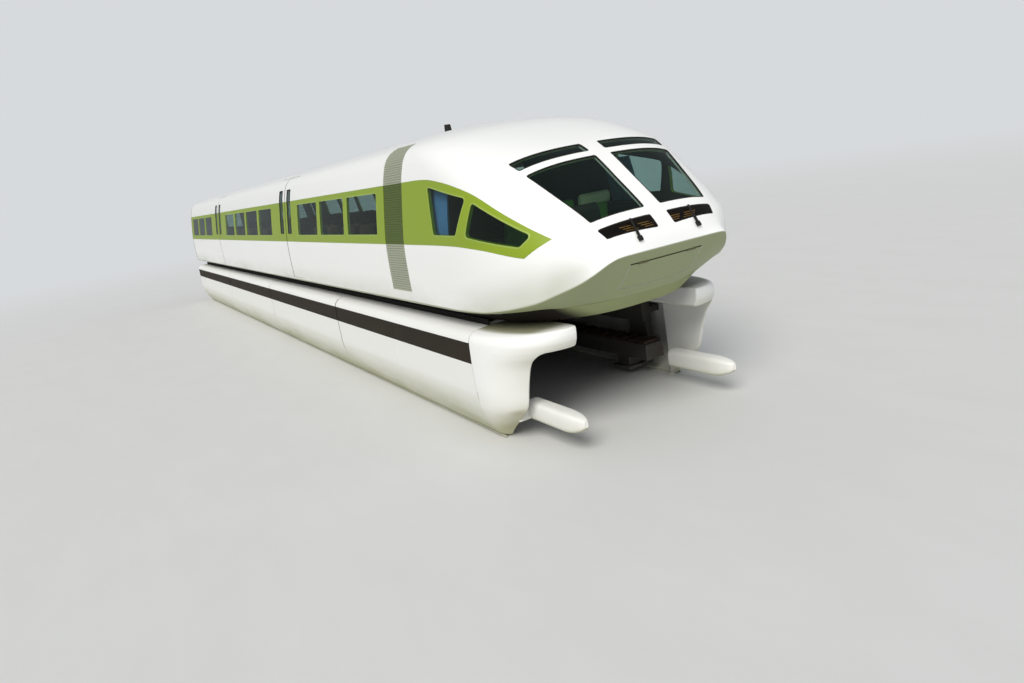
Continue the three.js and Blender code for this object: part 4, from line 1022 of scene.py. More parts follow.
def makeLouvre():
    # Section of the body at several x, with a saw of small slats along its length, and a wall
    per, rings, count = louvre["samplesPerSlat"], [], 0
    for x in np.linspace(louvre["startX"], louvre["endX"] - bands["gap"], 5):
        line = sectionAt(x)[0]
        length = chordLengths(line)
        start = np.interp(louvre["bottomZ"], line[:, 1], length)
        count = count or 1 + per * int(round((length[-1] - start) / louvre["pitch"]))
        at = np.linspace(start, length[-1], count)
        half = np.stack([np.interp(at, length, line[:, 0]), np.interp(at, length, line[:, 1])], 1)
        half[-1, 0] = 0
        normal = chainNormals(half)
        normal[-1] = (0, 1)
        phase = (np.arange(count) % per) / per
        depth = -louvre["depth"] * np.where(phase < 0.6, phase / 0.6, (1 - phase) / 0.4)
        depth *= half[:, 1] < louvre["topZ"]
        rings.append(pleatedRing(x, half + normal * depth[:, None], half - normal * louvre["wall"]))
    ring = newObject("louvreRing", [tubePart(rings)])
    paintBetween(ring, bands["bottomZ"], bands["topZ"], 1)
    paintBetween(ring, louvre["topZ"], 4.3, 2)
    finishPiece(ring, "louvre_metal", "louvreLight louvreGreen white", ["louvre_ring"], smooth=20)
    print("louvre made:", count, "samples a side")


# Nose
flap = {"x": 13.427, "z": 2.207, "slope": (0.652, 0.758), "length": 0.414, "halfWidth": 0.560,
        "gap": 0.008, "topGap": 0.022, "leafTop": 0.003, "thickness": 0.04, "rimUp": -0.0105}
hinge = {"radius": 0.010, "near": 0.300, "middle": 0.380, "far": 0.440}
wiper = {"x": 13.518, "y": 0.445, "z": 2.500, "lean": math.radians(33), "length": 0.27, "bossRadius": 0.020}


def flapPrism(down, up, inward, outward, y0, y1):
    # Block in the flap's own directions, measured from its hinge line
    sx, sz = flap["slope"]
    corners = [(-down, -inward), (-down, outward), (up, outward), (up, -inward)]
    return alongY([(flap["x"] + a * sx + b * sz, flap["z"] + a * sz - b * sx) for a, b in corners], y0, y1)


def knuckle(y0, y1):
    rings = []
    for r, y in ((0.001, y0), (hinge["radius"], y0), (hinge["radius"], y1), (0.001, y1)):
        x, z = circle(r).T
        rings.append(np.stack([flap["x"] + x, np.full(len(x), y), flap["z"] + z], -1))
    return tubePart(rings)


def wiperPart(part, side):
    # Turns a part of the wiper's own frame, x along its shaft and z along its blade, into place
    points, faces = part
    turn = wiper["lean"]
    x = points[:, 0] * math.cos(turn) - points[:, 2] * math.sin(turn) + wiper["x"]
    z = points[:, 0] * math.sin(turn) + points[:, 2] * math.cos(turn) + wiper["z"]
    return np.stack([x, points[:, 1] + side * wiper["y"], z], -1), faces


def paintRimShade(leaf):
    # The flap's upper rim and knuckles get the second material, the dark olive painted shade of the seam
    sx, sz = flap["slope"]
    up = (readVectors(leaf.data.polygons, "center") - (flap["x"], 0, flap["z"])) @ np.array((sx, 0, sz))
    leaf.data.polygons.foreach_set("material_index", (up > flap["rimUp"]).astype(np.int32))


def makeNose(shell):
    nose = panelFrom(shell, "noseSkin", [boxPart(louvre["endX"], 14, -farOut, farOut, 1.7, 4.4)])
    half = flap["halfWidth"]
    bandSource = copyOf(nose, "bandSource")
    carve(nose, [flapPrism(flap["length"], flap["topGap"], 0.2, 0.2, -half, half)])
    carve(nose, [throughScreen(roundedOutline(mirroredY(screens[key], side), screens["corner"], 0.2))
                 for side in sides.values() for key in ("main", "upper", "lamp")])
    outline = bandOutline()
    for name, side in sides.items():
        band = carve(copyOf(bandSource, f"cabBand{name}"), [throughSide(side, outline, 0.7)], "INTERSECT")
        carve(nose, [throughSide(side, grownOutline(outline, bands["gap"]), 0.7)])
        carve(band, [throughSide(side, roundedOutline(o, cab["corner"], 0.2), 0.7) for o in cab["panes"]])
        finishPiece(band, "green_paint", "green darkLining", [f"cab_band_{name.lower()}"])
    bpy.data.objects.remove(bandSource)
    for side in sides.values():
        rings = [np.column_stack([np.full(24, x), circle(r)])
                 for r, x in ((wiper["bossRadius"], -0.080), (wiper["bossRadius"], -0.0133), (0.017, -0.0103))]
        carve(nose, [wiperPart(tubePart(rings), side)], "UNION")
    finishPiece(nose, "white_paint", "white darkLining", ["nose_shell"])
    makeFlap()
    print("nose made")


def makeFlap():
    # Leaf of the skin's own shape with two knuckles, the car's knuckles, and a seal above it
    half, inner = flap["halfWidth"], flap["halfWidth"] - flap["gap"]
    leaf = bodySolid("leafOuter", 0.0, 9.0, bodyShape["bottomZ"])
    carve(leaf, bodySolid("leafInner", flap["thickness"], 8.9, bodyShape["bottomZ"] - 0.08))
    region = flapPrism(flap["length"] - flap["gap"], -flap["leafTop"], 0.2, 0.2, -inner, inner)
    carve(leaf, [region], "INTERSECT")
    leaf.name = leaf.data.name = "noseFlapLeaf"
    barrels = []
    for side in (1, -1):
        own = sideSpan(side, hinge["near"], hinge["middle"])
        carve(leaf, [flapPrism(0.015, 0.2, 0.2, 0.2, *sideSpan(side, hinge["middle"], hinge["far"] + 0.005))])
        carve(leaf, [knuckle(*own)], "UNION")
        carve(leaf, [flapPrism(0.032, 0, 0.02, 0, *own)], "UNION")
        fixed = sideSpan(side, hinge["middle"] + 0.0005, hinge["far"])
        barrels += [knuckle(*fixed), flapPrism(0, 0.03, 0.02, 0, *fixed)]
    paintRimShade(leaf)
    finishPiece(leaf, "white_paint", "white flapSeam", ["nose_flap"], body="nose_flap")
    # Hinges and seal take the same dark olive painted shade of the seam
    addPiece("flapHinges", barrels, "black_plastic", "flapSeam", bevel=0.0015)
    addPiece("flapSeal", [flapPrism(-0.003, 0.024, 0.036, -0.024, -half, half)], "black_plastic", "flapSeam")


def makeWipers():
    long = wiper["length"]
    boxes = [
        (-0.010, 0.014, -0.030, 0.030, -0.026, 0.032), (0.0, 0.011, -0.019, 0.019, 0.020, long * 0.45),
        (0.0, 0.011, -0.009, 0.009, long * 0.40, long * 0.92), (0.001, 0.012, -0.012, 0.012, long * 0.45, long),
    ]
    for name, side in sides.items():
        node = f"lamp_wiper_{name.lower()}"
        addPiece(f"lampWiper{name}", [wiperPart(boxPart(*b), side) for b in boxes], "black_plastic", "black",
                 [node], body=node, bevel=0.003)


# Skirts: the outside of the section from the shoulder down, as (y, z) with the stripe's edges
skirt = {
    "outside": [(1.500, 1.545), (1.640, 1.540), (1.740, 1.515), (1.800, 1.470), (1.828, 1.425),
                (1.838, 1.390), (1.8495, 1.100), (1.850, 0.900), (1.850, 0.700), (1.828, 0.520),
                (1.768, 0.320), (1.663, 0.130), (1.590, 0.040), (1.500, 0.002)],
    "stripeTop": 1.390, "stripeBottom": 1.100, "stripeDepth": 0.006,
    "thickness": 0.045, "rearX": -13.53, "frontX": 11.518,
    "seams": [-12.12, -6.27, -0.17, 5.70], "faintSeams": [-9.2, -3.2, 2.76, 8.76],
    "seamWidth": 0.064, "seamDepth": 0.012, "endSeam": 0.016, "lipFrontX": 11.62,
}


def skirtProfile(spacing=0.02):
    # Monotone curve through the section's points by chord length, with exact stripe edges
    line = np.array(skirt["outside"])
    length = chordLengths(line)
    at = np.linspace(0, length[-1], int(length[-1] / spacing))
    edges = [length[np.argmin(abs(line[:, 1] - skirt[k]))] for k in ("stripeTop", "stripeBottom")]
    at = np.unique(np.concatenate([at, [e + d for e in edges for d in (-0.0015, 0.0015)], edges]))
    section = np.stack([smoothThrough(length, line[:, 0], at), smoothThrough(length, line[:, 1], at)], 1)
    return section, (at > edges[0]) & (at < edges[1])


def skirtStations():
    # Rows of x and how far the skin is pressed in there, from 0 to 1
    rearX, frontX, endSeam = skirt["rearX"], skirt["frontX"], skirt["endSeam"]
    stations = [(rearX, 0.0), (frontX, 1.0), (frontX - endSeam - 0.002, 0), (frontX - endSeam, 1)]
    kinds = (("seams", skirt["seamWidth"] / 2, 0.002, 1), ("faintSeams", 0.003, 0.001, 0.35))
    for seams, half, side, share in kinds:
        for x in skirt[seams]:
            stations += [(x - half - side, 0), (x - half, share), (x + half, share), (x + half + side, 0)]
    stations += [(x, 0) for x in np.arange(rearX + 0.5, frontX, 1.0)
                 if min(abs(x - s) for s in skirt["seams"] + skirt["faintSeams"]) > 0.05]
    return np.array(sorted(stations))


def makeSkirts():
    # Grid of stations along the car by points of the section; seams and stripe press it inwards
    line, inStripe = skirtProfile()
    normal, stations = -chainNormals(line), skirtStations()
    press = stations[:, 1:] * skirt["seamDepth"] + inStripe[None] * skirt["stripeDepth"]
    outer = line[None] - normal[None] * press[..., None]
    inner = np.broadcast_to(line - normal * skirt["thickness"], outer.shape)[:, ::-1]
    inner = np.stack([inner[..., 0], np.maximum(inner[..., 1], 0.03)], -1)
    loops = np.concatenate([outer, inner], axis=1)
    xs = np.broadcast_to(stations[:, :1, None], (*loops.shape[:2], 1))
    part = tubePart(np.concatenate([xs, loops], -1))
    count, around = len(line), loops.shape[1]
    column = np.tile(np.arange(around), len(stations) - 1)
    # Painted shade: the pressed seam strips take the black seam rubber as the shadow in the gaps between the
    # skirt's panels
    shadedSeam = np.repeat((stations[:-1, 1] + stations[1:, 1]) / 2 > 0.6, around)
    stripeColumn = np.append(inStripe[:-1] & inStripe[1:], np.zeros(around - count + 1, bool))
    index = np.where(shadedSeam & (column < count - 1), 2, np.where(stripeColumn[column], 1, 0))
    for name, side in sides.items():
        piece = newObject(f"skirt{name}", [part if side > 0 else mirrorPart(part)])
        piece.data.polygons.foreach_set("material_index", np.concatenate([index, [0, 0]]).astype(np.int32))
        finishPiece(piece, "skirt_paint", "skirt stripe seam", [f"skirt_{name.lower()}"])
        path = [(x, side * 1.585, 0.020) for x in np.linspace(skirt["rearX"], skirt["lipFrontX"], 40)]
        addPiece(f"skirtLip{name}", [sweepPart(path, circle(0.014, 12) * (1.3, 1))], "skirt_paint", "lip")
    print("skirts made")


# Fairing at the front of each skirt. Its plan is a rounded corner from the outside at the
# skirt's end to the front; the front leans back lower down, and it is open under its arm
fairing = {
    "rows": [  # z, outside y, front x at the arm's end
        (0.002, 1.500, 11.66), (0.030, 1.575, 11.70), (0.130, 1.663, 11.80), (0.320, 1.768, 12.06),
        (0.520, 1.828, 12.30), (0.810, 1.850, 12.415), (1.090, 1.8495, 12.555), (1.240, 1.845, 12.69),
        (1.320, 1.841, 12.745), (1.400, 1.834, 12.78), (1.470, 1.800, 12.79), (1.515, 1.740, 12.79),
        (1.540, 1.640, 12.78), (1.548, 1.500, 12.74),
    ],
    "power": 2.3, "rearX": 11.524, "turns": 44, "armInsideY": 1.010, "armBottomZ": 1.288,
    "slotY": 1.500, "leastWidth": 0.06, "slotCorner": 0.13, "edge": 0.025,
    "edgeRound": [(0.25, 0.036), (0.6, 0.18), (0.9, 0.6), (1.0, 1.2)],  # inwards and back, times edge
    "toe": [  # x, inset, rise
        (11.90, 0.0, 0.0), (12.70, 0.0, 0.0), (12.85, 0.010, 0.004), (12.95, 0.030, 0.012),
        (13.03, 0.055, 0.020), (13.08, 0.088, 0.030),
    ],
    "toeY": (1.130, 1.360), "toeZ": (0.260, 0.520), "neck": (11.72, 11.95, 1.34, 1.515, 0.28, 0.40),
}


def fairingPart():
    # Closed plan for each height: its back edge, round the front corner as far as the slot or
    # the arm's end, and back along the inside. x = rear + reach sin^(2/p), y = end + width cos^(2/p)
    table, power, end = np.array(fairing["rows"]), fairing["power"], fairing["armInsideY"]
    corner, armZ, edge = fairing["slotCorner"], fairing["armBottomZ"], fairing["edge"]
    knots = np.arange(len(table), dtype=float)
    at = np.linspace(0, knots[-1], 5 * (len(table) - 1) + 1)
    z, out, front = (smoothThrough(knots, table[:, k], at) for k in range(3))
    bend = armZ - corner * (1 - np.sin(np.linspace(0, math.pi / 2, 9)))
    arm = armZ + np.array([0.0005, 0.004, 0.012, 0.025])
    levels = np.unique(np.concatenate([z, bend, arm]))
    out, front = (np.interp(levels, z, column)[:, None] for column in (out, front))
    drop = np.clip((levels - (armZ - corner)) / corner, 0, 1)
    inside = np.minimum(fairing["slotY"] - corner * (1 - np.sqrt(1 - drop ** 2)),
                        out[:, 0] - fairing["leastWidth"])
    lift = np.clip((levels - armZ) / edge, 0, 1)
    armInside = end + edge * (1 - np.sqrt(1 - (1 - lift) ** 2))
    inside = np.where(levels > armZ, armInside, inside)[:, None]
    share = np.clip((inside - end) / (out - end), 0, 1)
    turn = np.arccos(share ** (power / 2)) * np.linspace(0, 1, fairing["turns"])[None] ** 0.9
    x = fairing["rearX"] + (front - fairing["rearX"]) * np.sin(turn) ** (2 / power)
    y = end + (out - end) * np.cos(turn) ** (2 / power)
    inwards, back = np.array(fairing["edgeRound"]).T[:, None] * edge
    edgeX, edgeY = x[:, -1:] - back, y[:, -1:] - inwards
    innerX = fairing["rearX"] + (edgeX[:, -1:] - fairing["rearX"]) * np.linspace(1, 0, 8)[None, 1:]
    xs = np.concatenate([x, edgeX, innerX], 1)
    ys = np.concatenate([y, edgeY, edgeY[:, -1:] + 0 * innerX], 1)
    return tubePart(np.stack([xs, ys, levels[:, None] + 0 * xs], -1))


def toePart():
    # Rounded beam: squared-off ovals that draw in and rise towards the tip
    stations = np.array(fairing["toe"])
    x = np.linspace(stations[0, 0], stations[-1, 0], 40)
    inset, rise = (smoothThrough(stations[:, 0], stations[:, k], x)[:, None] for k in (1, 2))
    turn = np.linspace(0, 2 * math.pi, 40, endpoint=False)[None]
    (y0, y1), (z0, z1) = fairing["toeY"], fairing["toeZ"]

    def squared(value):
        return np.sign(value) * np.abs(value) ** 0.5
    y = (y0 + y1) / 2 + ((y1 - y0) / 2 - inset) * squared(np.cos(turn))
    z = (z0 + z1) / 2 + rise + ((z1 - z0) / 2 - inset) * squared(np.sin(turn))
    return tubePart(np.stack([x[:, None] + 0 * y, y, z], -1))


def makeFairings():
    for name, side in sides.items():
        parts = [fairingPart(), toePart(), boxPart(*fairing["neck"])]
        addPiece(f"skirtFairing{name}", [p if side > 0 else mirrorPart(p) for p in parts], "skirt_paint",
                 "fairing", [f"skirt_front_{name.lower()}"])
    print("fairings made")


# Floor pan, cabin floor, lips and roof antenna; the pan's plans are z, half width, front x, start x
pan = {"low": (1.600, 1.44, 12.88, 10.8), "high": (1.7795, 1.62, 13.05, 10.95), "rearX": -13.29, "power": 2.6,
       "lipFrontX": 12.1, "strip": (-13.28, 11.50, 1.470, 1.490, 1.482, 1.622)}
cabinFloor = {"halfWidth": 1.70, "startX": 10.9, "frontX": 12.9, "rearX": -13.30, "power": 2.5,
              "z": (1.80, 1.95)}
antenna = {"x": 8.33, "halfWidth": 0.034, "baseZ": 4.196, "finZ": 4.215}


def planRing(z, halfWidth, startX, frontX, rearX, power):
    # Outline of the pan or floor at one height, with a rounded corner of the given power
    turn = np.linspace(0, math.pi / 2, 40)
    x = startX + (frontX - startX) * np.sin(turn) ** (2 / power)
    y = halfWidth * np.clip(np.cos(turn), 0, 1) ** (2 / power)
    half = np.stack([np.append(rearX, x), -np.append(halfWidth, y)], 1)
    line = np.concatenate([half, (half * (1, -1))[-2::-1]])
    return np.column_stack([line, np.full(len(line), z)])


def makeUnderside():
    # Pan: plans of growing size from its bottom to the skin's lower edge, and a floor inside
    rings = []
    for share in np.linspace(0, 1, 9):
        z, halfWidth, frontX, startX = (a + (b - a) * share for a, b in zip(pan["low"], pan["high"]))
        rings.append(planRing(z, halfWidth, startX, frontX, pan["rearX"], pan["power"]))
    addPiece("floorPan", [tubePart(rings)], "underframe_paint", "pan", ["underframe"])
    size = [cabinFloor[key] for key in ("halfWidth", "startX", "frontX", "rearX", "power")]
    addPiece("cabinFloor", [tubePart([planRing(z, *size) for z in cabinFloor["z"]])], "lining", "carpet")
    # Black strips close the gap between the skirts and the body: painted shade of that gap
    x0, x1, near, far, z0, z1 = pan["strip"]
    strips = [sideBox(side, x0, x1, near, far, z0, z1) for side in (1, -1)]
    addPiece("gapShadeStrips", strips, "underframe_paint", "seam", bevel=0.003)
    low = skin(np.zeros(90), np.linspace(0, math.pi / 2, 90))
    low = low[low[:, 0] < pan["lipFrontX"]]
    path = np.concatenate([[[-13.34, low[0, 1], low[0, 2]]], low]) * (1, 0.9965, 1) + (0, 0, 0.004)
    lips = [sweepPart(path * (1, side, 1), circle(0.014, 12)) for side in (1, -1)]
    addPiece("bodyLip", lips, "white_paint", "lip")


def makeAntenna():
    x, base, fin = antenna["x"], antenna["baseZ"], antenna["finZ"]
    foot = lathePart([(0.07, base), (0.07, fin), (0.058, 4.228), (0.04, 4.232)], (x, 0, 0))
    outline = [(x - 0.068, fin), (x + 0.095, fin), (x + 0.065, 4.340), (x - 0.045, 4.348)]
    blade = alongY(outline, -antenna["halfWidth"], antenna["halfWidth"])
    plate = boxPart(x - 0.125, x + 0.125, -0.052, 0.052, base, 4.222)
    addPiece("roofAntenna", [foot, blade, plate], "black_plastic", "black", ["roof_antenna"], bevel=0.008)


# Levitation frames, magnets and springs; a frame's section is half of it, as (y, z)
levitation = {
    "first": -12.65, "pitch": 3.324286, "count": 8, "length": 0.42, "coilPitch": 0.26, "coilLength": 0.17,
    "springY": 0.95, "springZ": (1.472, 1.598), "springRadius": 0.235, "pleat": 0.02, "pleats": 3,
    "section": [
        (0, 1.34), (0.30, 1.34), (1.07, 1.33), (1.08, 1.287), (1.30, 1.287), (1.31, 1.33), (1.47, 1.33),
        (1.50, 1.28), (1.50, 0.16), (1.48, 0.141), (1.06, 0.141), (1.06, 0.091), (1.54, 0.091), (1.598, 0.17),
        (1.618, 0.90), (1.80, 0.90), (1.80, 1.0), (1.618, 1.0), (1.61, 1.34), (1.57, 1.45), (1.50, 1.478),
        (0, 1.478),
    ],
}


def makeChassis():
    # Each frame is one section carried along its length, with a pleated air spring on each side
    first, length = levitation["first"], levitation["length"]
    outline = np.array(levitation["section"])
    full = np.concatenate([outline, (outline * (-1, 1))[-2:0:-1]])
    places = [first + i * levitation["pitch"] for i in range(levitation["count"])]
    share = np.linspace(0, 1, 25)
    z0, z1 = levitation["springZ"]
    wave = np.sin(share * 2 * math.pi * levitation["pleats"])
    radius = levitation["springRadius"] + levitation["pleat"] * wave
    spring = np.column_stack([radius, z0 + share * (z1 - z0)])
    parts = []
    for x in places:
        parts.append(alongX(full, x, x + length))
        for y in (-levitation["springY"], levitation["springY"]):
            parts.append(lathePart(spring, (x + length / 2, y, 0)))
    for side in (1, -1):
        parts.append(sideBox(side, first, places[-1] + length, 1.452, 1.508, 0.79, 1.08))
    addPiece("levitationFrames", parts, "chassis_steel", "chassis", ["levitation_chassis"],
             bevel=0.006, segments=1)
    for name, side in sides.items():
        bar = [sideBox(side, first - 0.29, 11.49, 1.07, 1.41, 0.31, 0.56)]
        bar += [sideBox(side, x + 0.06, x + 0.36, 1.12, 1.36, 0.141, 0.33) for x in places]
        coils = [sideBox(side, x, x + levitation["coilLength"], 1.09, 1.39, 0.55, 0.603)
                 for x in np.arange(first - 0.25, 11.3, levitation["coilPitch"])]
        addPiece(f"levitationMagnets{name}", bar, "magnet_casing", "magnet",
                 [f"levitation_magnets_{name.lower()}"], bevel=0.008, segments=1)
        addPiece(f"magnetPoles{name}", coils, "magnet_casing", "copper", bevel=0.005, segments=1)
    print("chassis made")


# Inside: seats as crowned cushions, the cab's desk, seats and curtains
seats = {
    "blocks": [(3.9, 5), (-5.3, 7), (-12.7, 5)], "pitch": 1.01, "inner": 0.35, "width": 0.54, "gap": 0.03,
    "padAt": (0.28, 2.345), "backAt": (0.010, 2.655), "backLean": -84,
    "shells": [  # x from the seat's start, y from the middle of the car, z
        (0.03, 0.50, 0.36, 1.50, 2.25, 2.285), (0.18, 0.32, 0.90, 0.96, 1.955, 2.26),
        (-0.075, -0.045, 0.36, 1.50, 2.30, 2.90),
    ],
}
padding = {
    "shapes": {  # width, length, height, crown, steps
        "saloonPad": (0.54, 0.50, 0.10, 0.015, 18), "saloonBack": (0.54, 0.56, 0.09, 0.010, 18),
        "driverPad": (0.54, 0.50, 0.12, 0.020, 36), "driverBack": (0.56, 0.66, 0.10, 0.020, 36),
        "driverCover": (0.58, 0.20, 0.11, 0.010, 30),
    },
    "corner": 0.35, "voxel": 0.008, "pressure": 4.0, "lastFrame": 20, "reach": 0.012, "smaller": 0.97,
    "channel": 0.008, "channelAt": 0.52, "piping": 0.005,
}


def cushionPart(width, length, height, crown, steps):
    # Closed pillow: a squared-off oval plan whose edge pulls in, crowned above, flatter below
    u = np.linspace(-1, 1, steps)
    a, b = np.meshgrid(u, u, indexing="ij")
    bulge = (1 - np.abs(a) ** 3.2) * (1 - np.abs(b) ** 3.2)
    edge = 1 - 0.045 * (np.cos(a * math.pi / 2) ** 2 * (np.abs(b) > 0.99)
                        + np.cos(b * math.pi / 2) ** 2 * (np.abs(a) > 0.99))
    x = a * length / 2 * np.sqrt(1 - padding["corner"] * b * b / 2) * edge
    y = b * width / 2 * np.sqrt(1 - padding["corner"] * a * a / 2) * edge
    channel = 1 - 0.16 * np.exp(-((np.abs(b) - padding["channelAt"]) / 0.05) ** 2)
    top = height / 2 * 0.25 + (height * 0.5 + crown) * bulge ** 0.42 * channel
    return shellPart(np.stack([x, y, top], -1), np.stack([x, y, -height / 2 * bulge ** 0.25], -1))


def swellPads(parts):
    # Cloth: each pad is copied a little smaller, remeshed to even faces and blown up. No point
    # may move further than the reach. The pad's own grid is then laid on the swollen shape.
    scene, pads, made = bpy.context.scene, {}, {}
    for name, (points, faces) in parts.items():
        pad = newObject(name, [(points * padding["smaller"], faces)])
        remesh = pad.modifiers.new("remesh", "REMESH")
        remesh.mode, remesh.voxel_size = "VOXEL", padding["voxel"]
        mesh = evaluatedMesh(pad)
        pad.modifiers.clear()
        pad.data = mesh
        cloth = pad.modifiers.new("cloth", "CLOTH")
        cloth.settings.use_pressure = True
        cloth.settings.uniform_pressure_force = padding["pressure"]
        cloth.settings.effector_weights.gravity = 0
        cloth.point_cache.frame_end = padding["lastFrame"]
        pads[name] = pad
    for step in range(1, padding["lastFrame"] + 1):
        scene.frame_set(step)
    for name, pad in pads.items():
        swollen = evaluatedMesh(pad)
        start = readVectors(pad.data.vertices, "co").astype(float)
        move = readVectors(swollen.vertices, "co").astype(float) - start
        length = np.maximum(np.linalg.norm(move, axis=1, keepdims=True), 1e-9)
        capped = start + move * np.minimum(1, padding["reach"] / length)
        swollen.vertices.foreach_set("co", capped.astype(np.float32).ravel())
        pad.modifiers.clear()
        pad.data = swollen
        grid = newObject("padGrid", [parts[name]], outward=False)
        grid.modifiers.new("wrap", "SHRINKWRAP").target = pad
        made[name] = (readVectors(evaluatedMesh(grid).vertices, "co").astype(float), parts[name][1])
        print("pad swollen:", name, "by up to", round(float(length.max()) * 1000, 1), "mm")
        bpy.data.objects.remove(grid)
        bpy.data.objects.remove(pad)
    scene.frame_set(1)
    return made


def sewnPad(part, steps):
    # Two channels pressed into the top by a bell curve, and piping along the upper edge
    points, faces = part[0].copy(), part[1]
    a, b = (grid.ravel() for grid in np.meshgrid(*[np.linspace(-1, 1, steps)] * 2, indexing="ij"))
    press = np.exp(-((np.abs(b) - padding["channelAt"]) / 0.07) ** 2) * (1 - np.abs(a) ** 6)
    points[:steps * steps, 2] -= padding["channel"] * press
    path = points[gridRim(steps, steps)[::2]]
    along = np.roll(path, -1, axis=0) - np.roll(path, 1, axis=0)
    along /= np.linalg.norm(along, axis=1, keepdims=True)
    across = np.cross(along, (0, 0, 1))
    profile = circle(padding["piping"], 5)
    ring = path[:, None] + across[:, None] * profile[None, :, :1] + np.array([0, 0, 1.0]) * profile[None, :, 1:]
    quads = gridQuads(len(path), len(profile), closeRows=True, closeColumns=True)
    return joinParts([(points, faces), (ring.reshape(-1, 3), [quads])])


def makePads():
    parts = {name: cushionPart(*shape) for name, shape in padding["shapes"].items()}
    parts = swellPads(parts)
    return {name: sewnPad(part, padding["shapes"][name][-1]) for name, part in parts.items()}


def turned(part, degrees, move):
    # Turns a part about the y axis and moves it
    points, faces = part
    a = math.radians(degrees)
    x = points[:, 0] * math.cos(a) + points[:, 2] * math.sin(a)
    z = -points[:, 0] * math.sin(a) + points[:, 2] * math.cos(a)
    return np.stack([x, points[:, 1], z], -1) + np.asarray(move, float), faces


def makeSaloonSeats(pads):
    starts = [first + i * seats["pitch"] for first, count in seats["blocks"] for i in range(count)]
    (padX, padZ), (backX, backZ) = seats["padAt"], seats["backAt"]
    for name, side in sides.items():
        cushions, shells = [], []
        for x in starts:
            for k in (0, 1):
                y = side * (seats["inner"] + k * (seats["width"] + seats["gap"]) + seats["width"] / 2)
                cushions.append(turned(pads["saloonPad"], 0, (x + padX, y, padZ)))
                cushions.append(turned(pads["saloonBack"], seats["backLean"], (x + backX, y, backZ)))
            shells += [sideBox(side, x + x0, x + x1, *rest) for x0, x1, *rest in seats["shells"]]
        piece = addPiece(f"saloonSeats{name}", cushions, "seat_fabric", "seat",
                         [f"passenger_seats_{name.lower()}"], smooth=60)
        addPiece(f"saloonSeatFrames{name}", shells, "cab_plastic", "black", bevel=0.008, segments=1)
    print("saloon seats made")


curtain = {"x": (10.46, 11.10), "z": (2.70, 3.36), "inside": 0.12, "fold": 0.018, "thickness": 0.004}


def curtainPart(side):
    # A hanging cloth with folds: its depth is a wave along x that fades towards the top
    (x0, x1), (z0, z1) = curtain["x"], curtain["z"]
    x, z = np.linspace(x0, x1, 100)[:, None], np.linspace(z0, z1, 24)[None]
    fold = curtain["fold"] * np.sin((x - x0) * 95 + 0.6 * np.sin(z * 7)) * (1.15 - (z - z0) / 1.6)
    front = onSide(side)(x + 0 * z, z + 0 * x)
    front[..., 1] -= side * (curtain["inside"] + fold)
    return shellPart(front, front - (0, side * curtain["thickness"], 0))


# The cab's desk, hood and monitor, each as an outline of (x, z) and its reach in y
desk = {
    "top": ([(12.27, 2.46), (12.27, 2.52), (12.60, 2.635), (12.88, 2.555), (12.88, 2.50)], -1.05, 1.05),
    "foot": (rectangle(12.42, 12.86, 1.955, 2.53), -0.95, 0.95),
    "hood": ([(12.36, 2.53), (12.62, 2.70), (12.72, 2.70), (12.76, 2.58)], -0.38, 0.38),
    "monitor": ([(12.40, 2.56), (12.40, 2.90), (12.54, 2.92), (12.60, 2.86), (12.62, 2.58)], -0.62, -0.26),
}
cabSeats = {"y": 0.62, "pad": (11.48, 2.36), "back": (11.25, 2.64), "cover": (11.325, 2.86), "lean": -80,
            "middle": (11.18, 0.08, 2.62)}


def makeCab(pads):
    top, foot, hood, monitor = (alongY(*desk[key]) for key in ("top", "foot", "hood", "monitor"))
    addPiece("driversDesk", [top, foot], "cab_plastic", "plastic", ["drivers_desk"], bevel=0.012)
    addPiece("instrumentHood", [hood, monitor], "cab_plastic", "black", bevel=0.015)
    cushions, stems, covers, lean = [], [boxPart(11.20, 11.50, -0.72, 0.72, 1.951, 1.985)], [], cabSeats["lean"]
    for y in (-cabSeats["y"], cabSeats["y"]):
        places = [(x, y, z) for x, z in (cabSeats[key] for key in ("pad", "back", "cover"))]
        cushions += [turned(pads["driverPad"], 0, places[0]), turned(pads["driverBack"], lean, places[1])]
        covers.append(turned(pads["driverCover"], lean, places[2]))
        stems.append(boxPart(11.30, 11.44, y - 0.06, y + 0.06, 1.98, 2.32))
    cushions.append(turned(pads["driverBack"], lean, cabSeats["middle"]))
    stems.append(boxPart(11.10, 11.16, 0.02, 0.14, 1.98, 2.45))
    piece = addPiece("driversSeats", cushions, "seat_fabric", "seatGreen", ["drivers_seats"], smooth=60)
    piece = addPiece("driversSeatCovers", covers, "seat_fabric", "paleGreen", smooth=60)
    addPiece("driversSeatStems", stems, "cab_plastic", "black", bevel=0.01)
    for name, side in sides.items():
        piece = addPiece(f"cabCurtain{name}", [curtainPart(side)], "seat_fabric", "curtain", smooth=60)
    print("cab made")


# Ends: the wall behind the cab, the rear wall with its sliding door, and the pleated frame
ends = {"above": 1.952, "rearWallX": (-13.348, -13.29), "doorHalf": 0.48, "holeHalf": 0.43, "doorBottom": 1.96,
        "doorTop": 3.76, "holeTop": 3.71, "doorThick": 0.045, "doorGap": 0.008, "partitionX": (9.95, 10.0)}
bellows = {"x": (-13.549, -13.353), "steps": 33, "pleats": 4, "outside": 0.016, "depth": 0.028, "inside": 0.074}


def wallPart(x0, x1):
    # Flat wall that fills the section above the floor
    line = sectionAt(x1, bodyShape["wall"] + 0.006)[0]
    crown = line[-1:]
    line = line[::8][line[::8, 1] > ends["above"]]
    line = np.concatenate([line[line[:, 0] > 0.01], crown])
    return alongX(np.concatenate([line, (line * (-1, 1))[-2::-1]]), x0, x1)


